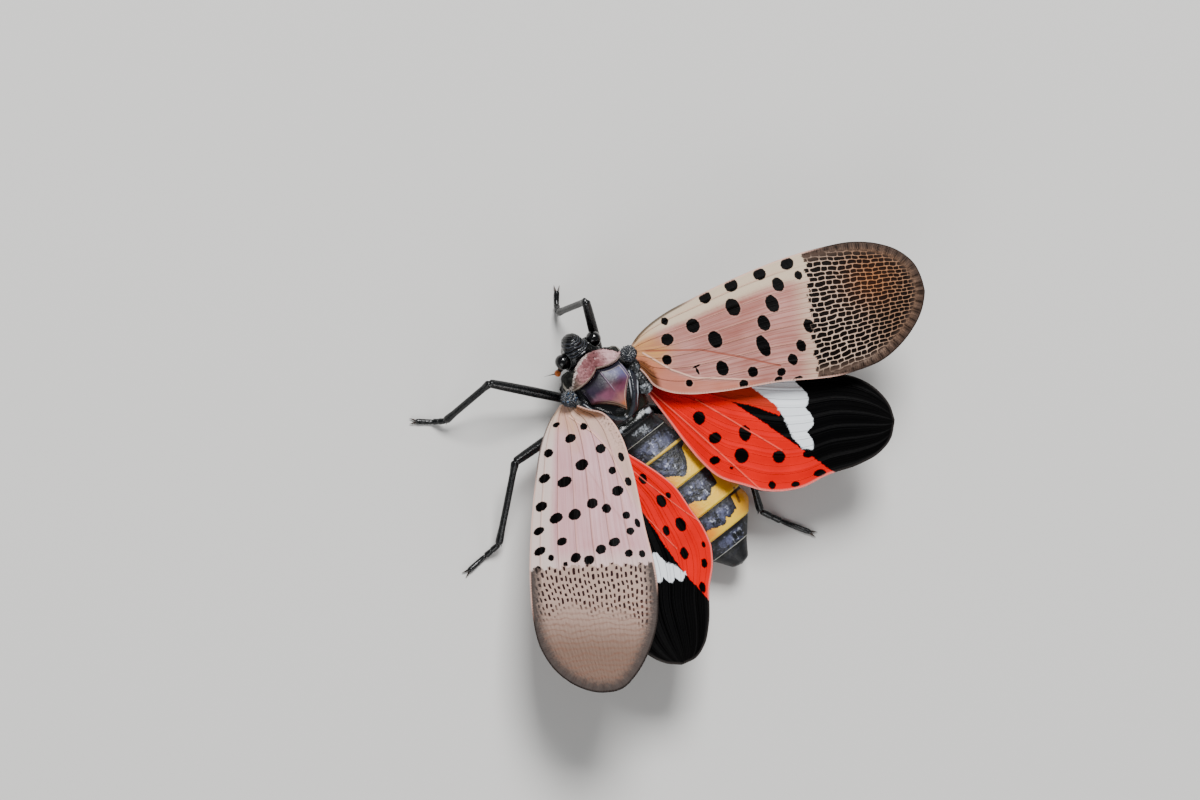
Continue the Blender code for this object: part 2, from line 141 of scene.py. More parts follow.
def smooth(low, high, value):
    """Nought below low, one above high, and 3t^2 - 2t^3 between them."""
    t = np.clip((value - low) / (high - low), 0, 1)
    return t * t * (3 - 2 * t)


def bell(value, width):
    """The bell curve exp(-(value / width)^2)."""
    return np.exp(-((value / width) ** 2))


def crests(share, places, width):
    """The sum of bell curves of the share, one at each place."""
    return bell(share[..., None] - np.array(places), width).sum(axis=-1)


def wing_sheet(
    front, rear, side, root, sweep, lift, roll, camber, narrowing, relief, shape=(290, 150)
):
    """The membrane's middle and its two faces over a grid of (share of the length, share of the width).

    Flat place = front edge * (1 - across) + rear edge * across, the part behind the root's line being
    narrowed by the fold. It is then laid along the axis and the rolled chord, and raised by
    camber * sin(pi * across) * sin(pi * share) along the rolled normal, with the relief on both faces.
    """
    share, across = np.linspace(0, 1, shape[0]), np.linspace(0, 1, shape[1])[None, :, None]
    flat = curve(front, share)[:, None] * (1 - across) + curve(rear, share)[:, None] * across
    out, forward = flat[..., 0], flat[..., 1]
    fold = narrowing[0] + (narrowing[1] - narrowing[0]) * np.clip(out / FOLD_REACH, 0, 1) ** 2
    narrowed = np.where(forward < 0, forward * fold, forward)
    sweep, lift, roll = np.radians(sweep), np.radians(lift), np.radians(roll)
    axis = np.array([side * np.sin(sweep) * np.cos(lift), np.cos(sweep) * np.cos(lift), np.sin(lift)])
    chord = np.array([side * np.cos(sweep), -np.sin(sweep), 0])
    normal = -side * np.cross(axis, chord)
    turn = (roll[0] + (roll[1] - roll[0]) * share)[:, None, None]
    chord_turned = chord * np.cos(turn) - normal * np.sin(turn)
    normal_turned = normal * np.cos(turn) + chord * np.sin(turn)
    across, share = (np.broadcast_to(grid, out.shape) for grid in (across[..., 0], share[:, None]))
    height = camber * np.sin(np.pi * across) * np.sin(np.pi * share) + relief(share, across, out)
    middle = np.array(root) * (side, 1, 1) + out[..., None] * axis
    middle = middle + narrowed[..., None] * chord_turned + height[..., None] * normal_turned
    rim = np.minimum(np.minimum(across, 1 - across) / RIM_ACROSS, (1 - share) / RIM_ALONG)
    half = MEMBRANE / 2 * (RIM_THINNESS + (1 - RIM_THINNESS) * smooth(0, 1, rim))
    half = half[..., None] * normal_turned
    return middle + half, middle - half, out, forward, across


def from_spots(out, forward, spots, slant):
    """Distance to the edge of the nearest spot: (norm in the slanted ellipse - 1) * its mean radius."""
    place_out, place_forward, half_out, half_forward = np.array(spots).T
    along, ahead = out[..., None] - place_out, forward[..., None] - place_forward
    turned_along = along * np.cos(slant) + ahead * np.sin(slant)
    turned_ahead = ahead * np.cos(slant) - along * np.sin(slant)
    norm = np.hypot(turned_along / half_out, turned_ahead / half_forward)
    return ((norm - 1) * np.sqrt(half_out * half_forward)).min(axis=-1)


def from_edge(out, forward, front, rear):
    """Distance to the nearest point taken on the front and rear edge, and how far round the two it lies."""
    fractions = np.linspace(0, 1, EDGE_POINTS)
    edge = np.concatenate([curve(front, fractions), curve(rear, fractions)[::-1]])
    round_edge = np.concatenate([[0], np.cumsum(np.linalg.norm(np.diff(edge, axis=0), axis=1))])
    gap = np.hypot(out[..., None] - edge[:, 0], forward[..., None] - edge[:, 1])
    return gap.min(axis=-1), round_edge[gap.argmin(axis=-1)]


def from_path(out, forward, places):
    """Distance to a line through the places: the least of those to its runs, each foot held to its run."""
    gaps = []
    for start, end in zip(places, places[1:]):
        run = np.subtract(end, start)
        foot = np.clip(((out - start[0]) * run[0] + (forward - start[1]) * run[1]) / (run @ run), 0, 1)
        gaps.append(np.hypot(out - start[0] - foot * run[0], forward - start[1] - foot * run[1]))
    return np.min(gaps, axis=0)


def grid_quads(rows, columns, wrapped):
    """Quads between neighbouring rows and columns; if wrapped, the last column meets the first."""
    index = np.arange(rows * columns).reshape(rows, columns)
    if wrapped:
        index = np.concatenate([index, index[:, :1]], axis=1)
    return np.stack([index[:-1, :-1], index[:-1, 1:], index[1:, 1:], index[1:, :-1]], -1).reshape(-1, 4)


def add_piece(name, points, quads, finish, values=None, triangles=None, replaces=()):
    """A smooth mesh in metres from points in millimetres, its values kept as attributes of the points."""
    mesh = bpy.data.meshes.new(name)
    faces = quads.tolist() + (triangles.tolist() if triangles is not None else [])
    placed = points.reshape(-1, 3) * MM + np.array(home)
    mesh.from_pydata(placed.tolist(), [], faces)
    for title, numbers in (values or {}).items():
        kept = mesh.attributes.new(title, "FLOAT", "POINT")
        kept.data.foreach_set("value", np.ravel(numbers).astype(np.float32))
    mesh.shade_smooth()
    mesh.materials.append(finish)
    piece = bpy.data.objects.new(name, mesh)
    bpy.context.scene.collection.objects.link(piece)
    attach(piece, "root")
    if replaces:
        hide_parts(*replaces)


def add_sheet(name, upper, lower, finish, values, flipped, node):
    """Both faces of a thin sheet and the narrow rim that closes them, the faces split alike."""
    rows, columns = upper.shape[:2]
    face = grid_quads(rows, columns, False)
    if flipped:
        face = face[:, ::-1]
    index = np.arange(rows * columns).reshape(rows, columns)
    rim = np.concatenate([index[:-1, 0], index[-1, :-1], index[:0:-1, -1], index[0, :0:-1]])
    after, below = np.roll(rim, -1), rows * columns
    band = np.stack([rim, rim + below, after + below, after], -1)
    if not flipped:
        band = band[:, ::-1]
    quads = np.concatenate([face, face[:, ::-1] + below, band[:, ::-1]])
    points = np.concatenate([upper.reshape(-1, 3), lower.reshape(-1, 3)])
    doubled = {title: np.tile(np.ravel(numbers), 2) for title, numbers in values.items()}
    add_piece(name, points, quads, finish, doubled, replaces=[node])


def linear(tone):
    """An sRGB colour of 0 to 255 as the linear colour a socket takes: (c / 255)^2.2."""
    return (*((np.array(tone) / 255) ** 2.2).tolist(), 1.0)


class Paint:
    """A socket of a material's nodes that can stand in a sum, each operator adding one Math node."""

    def __init__(self, made, socket=None):
        self.made, self.tree, self.socket = made, made.node_tree, socket

    def plug(self, socket, value):
        """Links the socket to a node's value, or sets a plain value on it."""
        if isinstance(value, Paint):
            self.tree.links.new(value.socket, socket)
        else:
            socket.default_value = value

    def make(self, kind, settings=None, inputs=None, output=0):
        """Any node: its type, its settings, and the values or links of its sockets."""
        node = self.tree.nodes.new(kind)
        for title, value in (settings or {}).items():
            setattr(node, title, value)
        for title, value in (inputs or {}).items():
            self.plug(node.inputs[title], value)
        return Paint(self.made, node.outputs[output])

    def _math(self, operation, *terms):
        return self.make("ShaderNodeMath", {"operation": operation}, dict(enumerate(terms)))

    def __add__(self, other):
        return self._math("ADD", self, other)

    def __sub__(self, other):
        return self._math("SUBTRACT", self, other)

    def __rsub__(self, other):
        return self._math("SUBTRACT", other, self)

    def __mul__(self, other):
        return self._math("MULTIPLY", self, other)

    __radd__, __rmul__ = __add__, __mul__

    def __truediv__(self, other):
        return self._math("DIVIDE", self, other)

    def __mod__(self, other):
        return self._math("FLOORED_MODULO", self, other)

    def __pow__(self, other):
        return self._math("POWER", self, other)

    def __abs__(self):
        return self._math("ABSOLUTE", self)

    def floor(self):
        return self._math("FLOOR", self)

    def sine(self):
        return self._math("SINE", self)

    def least(self, other):
        return self._math("MINIMUM", self, other)

    def beat(self):
        """How far this value lies from the middle of its whole step: |v mod 1 - 0.5|."""
        return abs(self % 1.0 - 0.5)

    def rises(self, low, high):
        """Nought at low and one at high, smoothly between; low may be the greater."""
        sockets = {"Value": self, "From Min": low, "From Max": high}
        return self.make("ShaderNodeMapRange", {"interpolation_type": "SMOOTHSTEP"}, sockets)

    def between(self, low, full, still, high):
        """Rises from nought at low to one at full, and falls again from still to high."""
        return self.rises(low, full) * self.rises(high, still)

    def over(self, under, tone):
        """The tone where this mask is one, and what is under it where the mask is nought."""
        under, tone = (linear(item) if isinstance(item, tuple) else item for item in (under, tone))
        return self.make("ShaderNodeMix", {"data_type": "RGBA"}, {0: self, 6: under, 7: tone}, output=2)

    def read(self, title):
        """A value kept on the mesh's points."""
        return self.make("ShaderNodeAttribute", {"attribute_name": title}, output="Fac")

    def reads(self, *titles):
        """Several such values."""
        return (self.read(title) for title in titles)

    def place(self):
        """Object coordinates in millimetres."""
        where = self.make("ShaderNodeTexCoord", output="Object")
        return self.make("ShaderNodeVectorMath", {"operation": "SCALE"}, {"Vector": where, "Scale": 1 / MM})

    def noise(self, where, scale, detail):
        """Cloudy noise about nought, most of it between -0.5 and 0.5, with so many waves a millimetre."""
        sockets = {"Vector": where, "Scale": scale, "Detail": detail}
        return self.make("ShaderNodeTexNoise", {}, sockets, output="Fac") - 0.5

    def finish(self, base, roughness, relief, fixed=None):
        """Joins colour, roughness, a relief in millimetres and fixed values to the Principled shader."""
        normal = self.make("ShaderNodeBump", {}, {"Height": relief, "Distance": MM, "Strength": 1.0})
        sockets = {"Base Color": base, "Roughness": roughness, "Normal": normal, **(fixed or {})}
        for title, value in sockets.items():
            self.plug(self.tree.nodes["Principled BSDF"].inputs[title], value)
        return self.made


def new_paint(name, *clouds):
    """A new material's Paint, and a noise for each pair of waves a millimetre and detail."""
    made = bpy.data.materials.new(name)
    made.use_nodes = True
    paint = Paint(made)
    where = paint.place()
    return paint, *(paint.noise(where, *cloud) for cloud in clouds)


def hindwing_finish():
    """Red, then a scalloped white band, then black with fine rays; spots, pale folds and a brown painted
    shade towards the front on the red.
    """
    paint, fine, broad = new_paint("hindwing_membrane", (5.0, 4.0), (0.5, 2.0))
    out, margin, ray, dark = paint.reads("out", "margin", "ray", "dark")
    red = (broad * 1.4 + 0.5).over((190, 0, 0), (222, 4, 0))
    red = (1 - out.rises(0.0, 3.0)).over(red, (140, 8, 8))
    red = (ray.beat().rises(0.34, 0.5) * 0.25).over(red, (226, 30, 12))
    # Painted shade: a brown tint on the red towards the front edge, where the forewing's edge lies over the
    # hindwing.
    red = (paint.read("shade_wedge").rises(-0.25, 0.35) * 0.8).over(red, (158, 52, 34))
    rays_out = (ray * 3.0).beat().rises(0.38, 0.5) * margin.rises(3.2, 0.2)
    black = (rays_out * 0.75).over((4, 4, 6), (30, 27, 26))
    base = (dark + fine * 0.28).rises(-0.04, 0.05).over(red, black)
    vein = ray.beat().rises(0.44, 0.5)
    white = (vein * 0.55).over((228, 233, 238), (150, 155, 160))
    base = (paint.read("white") + fine * 0.3).rises(-0.05, 0.07).over(base, white)
    base = (paint.read("spot") + fine * 0.22).rises(0.04, -0.04).over(base, (8, 3, 3))
    folds = paint.read("fold").rises(0.10, 0.02) * (1 - dark.rises(-0.1, 0.1))
    base = (folds * 0.6).over(base, (240, 98, 84))
    rim = dark.rises(0.0, 0.1).over((250, 150, 140), (60, 56, 54))
    base = (margin.rises(0.22, 0.05) * 0.6).over(base, rim)
    relief = fine * 0.01 + vein * 0.03 + folds * 0.05
    return paint.finish(base, 0.5 + fine * 0.2, relief, {"Specular IOR Level": 0.03})


def pleats(share, across, out):
    """Rounded pleats: crests at the veins, low troughs between, fading in from the root, out at the tip."""
    swell = smooth(0.02, 0.2, share) * smooth(1.0, 0.8, share)
    troughs = HINDWING_PLEAT * np.cos(2 * np.pi * across * PLEATS)
    return swell * (troughs + HINDWING_CREST * crests(across, HINDWING_VEINS, 0.008))


# Spots are (distance from the root, distance towards the front edge, half length, half width).
HINDWING_SPOTS = {
    RIGHT: [
        (4.05, -1.74, 0.44, 0.52), (5.40, -3.07, 0.46, 0.42), (5.59, -4.70, 0.38, 0.3),
        (7.53, -2.41, 0.44, 0.6), (7.51, -4.09, 0.52, 0.56), (10.25, -3.79, 0.47, 0.47),
        (10.02, -5.93, 0.28, 0.3), (11.74, -5.63, 0.32, 0.22), (12.37, -3.3, 0.42, 0.26),
        (13.4, -4.55, 0.45, 0.26), (6.9, -5.1, 0.14, 0.12),
    ],
    LEFT: [
        (4.69, -3.30, 0.42, 0.4), (6.72, -4.01, 0.5, 0.45), (6.52, -4.88, 0.25, 0.24),
        (8.85, -4.65, 0.53, 0.46), (8.89, -3.17, 0.4, 0.3), (10.92, -3.71, 0.47, 0.34),
        (10.8, -5.62, 0.24, 0.16), (12.1, -5.02, 0.36, 0.26), (13.69, -4.07, 0.4, 0.28),
    ],
}
# The pale and dark bands: (distance out, distance forward) along the red's edge and the dark streak's
# front edge, then the white's inner and outer edge, where its scallops begin, how long and how deep
# they are, and where the white ends behind.
BANDS = {
    RIGHT: (
        ((6.2, -0.2), (8.1, -1.09), (11.1, -2.60), (14.2, -4.25), (19.0, -6.2)),
        ((6.2, -0.2), (8.0, -0.33), (9.9, -0.76), (10.6, 2.0)),
        ((11.9, -2.9), (11.1, -2.3), (10.5, -1.3), (9.9, -0.5), (9.5, 0.0), (7.5, 1.11), (5.5, 3.0)),
        ((12.15, -2.95), (12.05, -1.7), (11.7, 0.1), (10.75, 1.9), (10.0, 3.0)),
        0.1, 1.8, 0.55, -2.95,
    ),
    LEFT: (
        (
            (5.0, -1.4), (6.45, -1.83), (8.88, -2.28), (10.44, -2.55), (12.36, -3.09), (14.4, -4.05),
            (19.0, -6.2),
        ),
        ((5.0, 4.0), (19.0, 4.0)),
        ((12.2, -3.0), (11.6, -2.7), (11.0, -1.9), (10.15, -1.5), (9.95, -0.5), (9.5, 0.5), (7.5, 1.6)),
        ((12.35, -3.1), (12.3, -2.13), (11.97, -1.2), (11.6, 0.0), (11.0, 1.5)),
        -1.2, 0.93, 0.45, -3.15,
    ),
}
HINDWING_FOLDS = ([(0.2, -0.2), (9.4, -6.5)], [(3.6, -0.4), (10.4, -3.3)])
HINDWINGS = {
    "hindwing_left": (LEFT, (2.90, 2.4, 4.15), 17.0, 8.0, (14.0, -4.0), FOLDED),
    "hindwing_right": (RIGHT, (2.75, 2.4, 4.05), 44.0, 8.0, (0.0, 0.0), SPREAD),
}
hindwing_paint = hindwing_finish()
for name, (side, root, sweep, lift, roll, narrowing) in HINDWINGS.items():
    pose = (side, root, sweep, lift, roll, HINDWING_CAMBER, narrowing)
    upper, lower, out, forward, across_wing = wing_sheet(HINDWING_FRONT, HINDWING_REAR, *pose, pleats)
    margin, _ = from_edge(out, forward, HINDWING_FRONT, HINDWING_REAR)
    red_edge, streak_edge, white_in, white_out, notch, scallop, deep, white_end = BANDS[side]
    under, ceiling = (np.interp(out, *np.array(line).T) for line in (red_edge, streak_edge))
    inner, outer = (np.interp(forward, *np.array(line).T[::-1]) for line in (white_in, white_out))
    outer = outer + deep * np.abs(np.sin(np.pi * (forward - notch) / scallop))
    streak = np.minimum(forward - under, np.maximum(ceiling - forward, (out - outer + 0.3)))
    streak = np.minimum(streak, (out - red_edge[0][0]) * 0.6)
    values = {
        "out": out, "margin": margin, "ray": across_wing * 2 * PLEATS,
        "spot": from_spots(out, forward, HINDWING_SPOTS[side], HINDWING_SPOT_SLANT),
        "white": np.minimum(np.minimum((out - inner) * 0.6, outer - out), (forward - white_end) * 0.8),
        "dark": streak,
        # Where the brown painted shade lies: towards the front edge, from about 5 mm out.
        "shade_wedge": np.minimum(forward + 0.2 + 0.1 * (out - 6.2), (out - 5.0) * 0.4),
        "fold": np.minimum(*(from_path(out, forward, fold) for fold in HINDWING_FOLDS)),
    }
    add_sheet(f"{name}_membrane", upper, lower, hindwing_paint, values, side == LEFT, name)


# The forewings are leathery pink membranes held out over the hindwings, with black spots, raised
# main veins, and a netted tip whose dark cells lie in rows between pale cross veins.
FOREWING_FRONT = [
    (0.0, 0.45), (0.9, 1.35), (1.9, 2.0), (3.1, 2.55), (5.4, 3.25), (9.4, 4.25), (12.8, 4.85), (15.3, 5.05),
]
FOREWING_REAR = [
    (0.0, -0.4), (0.8, -1.6), (1.3, -2.55), (2.3, -3.25), (3.7, -3.7), (5.6, -3.95), (10.2, -4.12),
]
FRONT_TIP = {
    LEFT: [(17.8, 4.85), (19.8, 3.95), (21.2, 2.55), (21.85, 1.25), (22.0, 0.25)],
    RIGHT: [(17.8, 5.0), (19.6, 4.5), (20.9, 3.75), (21.95, 2.45), (22.25, 1.2), (22.28, 0.6)],
}
REAR_TIP = {
    LEFT: [(15.2, -4.23), (17.8, -3.7), (19.7, -2.75), (21.2, -1.5), (21.85, -0.6), (22.0, 0.0)],
    RIGHT: [
        (15.7, -4.5), (18.4, -3.95), (19.7, -3.2), (20.8, -2.25), (21.7, -1.1), (22.15, -0.1), (22.28, 0.35),
    ],
}
# Lines on the wing: the brown seam that parts off its rear lobe, and the raised pale vein behind it.
SEAM_LINE = ((1.05, 0.1), (5.2, -0.7), (7.6, -1.65), (10.7, -3.0))
LOBE_VEIN = ((1.0, -0.05), (2.8, -1.7), (4.3, -2.6), (7.6, -3.4), (9.5, -3.7))
FOREWING_VEINS = (0.10, 0.26, 0.42, 0.56, 0.70, 0.85)
FOREWING_CREST, FOREWING_TROUGH, FOREWING_CAMBER = 0.06, 0.012, 0.4
FOREWING_SPOT_SLANT = {RIGHT: 0.25, LEFT: -0.2}
# The net begins at (distance out, more of it for each mm forward); then its row and cell spacing, and
# the share of that spacing that a cell's width and length take up.
NET = {RIGHT: (13.75, 0.09, 0.385, 0.70, 0.82, 0.90), LEFT: (12.78, -0.18, 0.345, 0.60, 0.46, 0.56)}
NET_NARROWS, CELL_DEPTH = 0.038, 0.028
MIDDLE_ROW, ROW_ORIGIN, EDGE_LINE_PITCH = 40, 0.3, 0.17
# A reddish glow in the right tip's net: its middle (out, forward) and its size.
GLOW_PLACE, GLOW_SIZE = (18.4, 1.9), (2.0, 1.7)
HAIR_ROWS = 25
FOREWING_GRID = (255, 185)
# Each row of cells is shifted by the part after the point of JOG[1] * sin(JOG[0] * its number).
JOG = (12.99, 43.76)
FOREWINGS = {
    "forewing_left": (LEFT, (3.05, -0.3, 4.80), 30.5, 14.0, (22.0, 16.0)),
    "forewing_right": (RIGHT, (2.95, -0.3, 4.80), 63.5, 10.5, (4.0, 0.0)),
}
# Spots as measured in the picture's plane, along the wing and across it towards the front edge, with
# their half sizes. SEEN turns them into places on the wing: out and forward, each from (along, across, 1).
SEEN = {
    RIGHT: ((1.007, 0.036, 0.616), (-0.028, 1.017, 0.223)),
    LEFT: ((1.028, -0.104, 0.194), (0.058, 0.994, -0.161)),
}
FOREWING_SPOTS = {
    RIGHT: [
        (2.35, 1.77, 0.27, 0.31), (2.32, 0.40, 0.46, 0.46), (2.04, -1.05, 0.36, 0.4),
        (4.32, 1.07, 0.5, 0.56), (5.55, 2.98, 0.46, 0.48), (7.58, 3.53, 0.5, 0.52),
        (7.43, 1.90, 0.52, 0.71), (5.75, -0.22, 0.5, 0.67), (5.92, -2.37, 0.44, 0.57),
        (9.77, 3.97, 0.47, 0.47), (11.88, 4.38, 0.5, 0.47), (10.96, 2.97, 0.42, 0.58),
        (10.3, 1.64, 0.47, 0.69), (9.45, 0.35, 0.45, 0.61), (9.14, -1.28, 0.45, 0.84),
        (8.08, -2.99, 0.39, 0.39), (7.27, -3.73, 0.34, 0.32), (12.54, 3.39, 0.29, 0.35),
        (12.66, -0.4, 0.38, 0.54), (11.86, -1.73, 0.35, 0.46), (11.09, -2.6, 0.36, 0.44),
        (10.13, -3.34, 0.33, 0.3), (9.83, -3.83, 0.32, 0.22), (3.37, -3.0, 0.27, 0.27),
        (4.09, -1.9, 0.3, 0.08), (4.1, -2.25, 0.1, 0.3), (11.17, -4.05, 0.47, 0.19),
    ],
    LEFT: [
        (1.32, 1.04, 0.2, 0.3), (1.75, -0.99, 0.29, 0.29), (2.52, 0.09, 0.34, 0.43),
        (3.57, -2.06, 0.37, 0.37), (3.36, 1.86, 0.33, 0.37), (4.6, -0.54, 0.43, 0.5),
        (4.33, -3.46, 0.37, 0.22), (5.28, -2.71, 0.29, 0.29), (5.69, 0.88, 0.4, 0.58),
        (5.2, 2.37, 0.34, 0.47), (6.21, -3.76, 0.37, 0.23), (6.83, -2.92, 0.39, 0.43),
        (7.56, -0.99, 0.39, 0.42), (8.04, -1.97, 0.37, 0.34), (7.24, 2.84, 0.37, 0.47),
        (8.28, 1.81, 0.39, 0.52), (8.21, 0.39, 0.43, 0.49), (8.67, -3.33, 0.3, 0.3),
        (9.29, -4.05, 0.37, 0.19), (9.85, -3.48, 0.29, 0.29), (9.02, 3.21, 0.29, 0.44),
        (10.06, 1.56, 0.31, 0.4), (10.54, -2.25, 0.34, 0.43), (10.51, 3.29, 0.31, 0.47),
        (10.97, -1.23, 0.36, 0.39), (11.12, 2.51, 0.26, 0.22), (11.37, 0.68, 0.37, 0.4),
        (11.66, -0.28, 0.37, 0.39), (11.73, 1.49, 0.19, 0.19), (11.45, -3.19, 0.3, 0.3),
        (11.56, -4.11, 0.29, 0.23), (11.8, 3.56, 0.25, 0.25), (12.48, -3.84, 0.15, 0.15),
    ],
}


def forewing_finish(
    name, pink, cream, root_tone, lobe_tones, net_tones, cell_tones, cell_share, cells_end, strength
):
    """Pink with cream along the front and a golden root, spots, and the net of the tip: rows of cells."""
    paint, fine, broad, wave = new_paint(name, (6.0, 4.0), (0.45, 2.0), (1.3, 2.0))
    out, forward, margin, rim, ray = paint.reads("out", "forward", "margin", "rim", "ray")
    row, step, glow, spot, vein = paint.reads("row", "net", "glow", "spot", "vein")
    streaks = paint.make("ShaderNodeCombineXYZ", {}, {"X": out * 0.12, "Y": ray * 0.8, "Z": 0.0})
    streak = paint.noise(streaks, 1.6, 3.0)
    base = (broad * 1.3 + streak * 1.9 + 0.5).over(*pink)
    strip = (ray + fine * 0.8 + broad * 1.2).rises(6.2, 3.8)
    base = ((strip + step.rises(-1.7, -0.2) * 0.6).least(1.0) * 0.85).over(base, cream)
    root = (out + broad * 3.0 + abs(forward + 0.2) * 1.2).rises(5.0, 1.2)
    base = (root * (0.55 + streak * 1.6)).over(base, root_tone)
    hair = (ray + fine * 0.12).beat().rises(0.34, 0.5) * out.rises(1.5, 6.0) * (1 - strip)
    base = (hair * (streak + 0.5) * strength).over(base, (138, 72, 60))
    base = (vein * 0.5).over(base, (206, 150, 132))
    lobe = (paint.read("lobe") + fine * 0.2).rises(0.0, 0.35) * out.rises(10.5, 8.0)
    base = (lobe * 0.7).over(base, (broad * 1.5 + 0.5).over(*lobe_tones))
    scribble = (fine * 2.0 + streak).rises(0.0, 0.25) * margin.rises(0.9, 0.2)
    scribble = scribble * out.rises(5.2, 3.0) * forward.rises(0, -0.6)
    base = (scribble * (1 - strength)).over(base, (74, 60, 50))
    seam = paint.read("seam").rises(0.10, 0.03) * out.rises(0.9, 1.4) * strength
    base = (seam * 0.8).over(base, (140, 74, 58))
    raised = paint.read("lobe_vein").rises(0.10, 0.03) * out.rises(9.5, 7.0)
    base = (raised * 0.8).over(base, (222, 178, 158))
    plate = (margin + fine * 0.5).rises(0.95, 0.45) * out.rises(2.0, 1.5) * forward.rises(-0.2, -0.8)
    base = (plate * 0.9).over(base, (streak * 2 + 0.4).over((40, 22, 14), (120, 72, 34)))

    netted = (step + fine * 0.5 + (row.floor() * 0.37 % 1.0) * 0.35).rises(0.0, 0.12)
    lattice = paint.read("cell") + (row.floor() * JOG[0]).sine() * JOG[1] % 1.0
    down, along = (row + fine * 0.14).beat(), (lattice + fine * 0.14).beat()
    cell = (down / (cell_share[0] / 2)) ** 4.0 + (along / (cell_share[1] / 2)) ** 4.0
    net = (out + forward * 0.25).rises(15.0, 19.5).over(net_tones[0], net_tones[1])
    net = (glow * 0.55).over(net, (166, 100, 52))
    net = (margin + fine * 0.8).rises(1.2, 0.2).over(net, net_tones[2])
    inside = margin.rises(1.2, 0.2).over((glow * 0.6).over(*cell_tones), net_tones[2])
    inner_part = (margin - out.rises(14.5, 18.5) * 0.42 + fine * 0.2).rises(0.16, 0.36)
    leaning = out + forward * 0.3 + broad * 2.0 + wave * 2.5
    fading = (leaning - margin.rises(0.6, 2.6) * 1.5 * (strength - 1)).rises(cells_end + 1.5, cells_end)
    cells = cell.rises(1.5, 0.8) * inner_part * fading
    lines = (rim / EDGE_LINE_PITCH).beat().rises(0.12, 0.4) * (1 - inner_part) * margin.rises(0.05, 0.2)
    tip = cells.over(net, inside)
    cross = (step * 2.3 + wave * 1.5 + broad * 2.0).beat().rises(0.2, 0.5) * inner_part
    cross = cross * out.rises(cells_end - 2.0, cells_end) * (1 - strength) * (fine + wave + 0.6)
    tip = (cross * 0.8).over(tip, cell_tones[1])
    tip = (lines * (0.15 + 0.65 * strength)).over(tip, cell_tones[0])
    base = netted.over(base, tip)

    base = (spot.rises(0.14, 0.05) * (1 - netted) * 0.14).over(base, (214, 184, 170))
    spots = (spot + fine * 0.16).rises(0.035, -0.035)
    base = (spots * (1 - netted * 0.4)).over(base, (6, 3, 3))
    front = forward.rises(0.4, 1.0) * out.rises(6.5, 4.0)
    edge = (margin - front * strength * 0.08).rises(0.17, 0.06)
    edge_tone = (front + out.rises(14.0, 16.0)).over((222, 176, 160), (30, 24, 22))
    base = (edge * 0.8).over(base, edge_tone)
    relief = fine * 0.012 + vein * 0.04 + raised * 0.05 - seam * 0.02 + hair * 0.008
    rough = 0.55 + fine * 0.2 - spots * 0.05
    return paint.finish(base, rough, relief - cells * netted * 0.01, {"Specular IOR Level": 0.05})


def raised_veins(share, across, out):
    """Bell-shaped ridges on the main veins, with shallow troughs cos(2 pi n across) between them."""
    length = smooth(0.0, 0.08, share) * smooth(0.7, 0.5, share)
    troughs = FOREWING_TROUGH * np.cos(2 * np.pi * across * PLEATS)
    return length * (FOREWING_CREST * crests(across, FOREWING_VEINS, 0.006) + troughs)


def net_lines(side, out, forward):
    """Distance past the net's start, and the place in rows and in cells, bent by products of sines."""
    start, lean, row, cell = NET[side][:4]
    step = out - start - lean * forward
    bend = 0.17 * np.sin(1.9 * out + 2.6 * forward) * np.sin(2.3 * forward - 1.1 * out)
    bend = bend + 0.09 * np.sin(5.7 * out - 3.1 * forward) * np.sin(4.3 * forward + 2.0 * out)
    pitch = row * (1 - NET_NARROWS * np.clip(step, 0, 9))
    down = (forward - ROW_ORIGIN) / pitch + MIDDLE_ROW + bend
    along = step / cell * (1 + 0.03 * step)
    return step, down, along + 0.16 * np.sin(2.3 * along + 2.4 * np.floor(down)) + 0.5 * bend


def net_hollows(side, down, along):
    """One inside each rounded cell, |down / width|^4 + |along / length|^4 < 1, and nought on the net."""
    width, length = NET[side][4:]
    jog = JOG[1] * np.sin(JOG[0] * np.floor(down)) % 1.0
    down, along = np.abs(down % 1 - 0.5), np.abs((along + jog) % 1 - 0.5)
    return smooth(1.5, 0.8, (down / (width / 2)) ** 4 + (along / (length / 2)) ** 4)


def unit(vectors):
    """Each vector divided by its length."""
    return vectors / np.linalg.norm(vectors, axis=-1, keepdims=True)


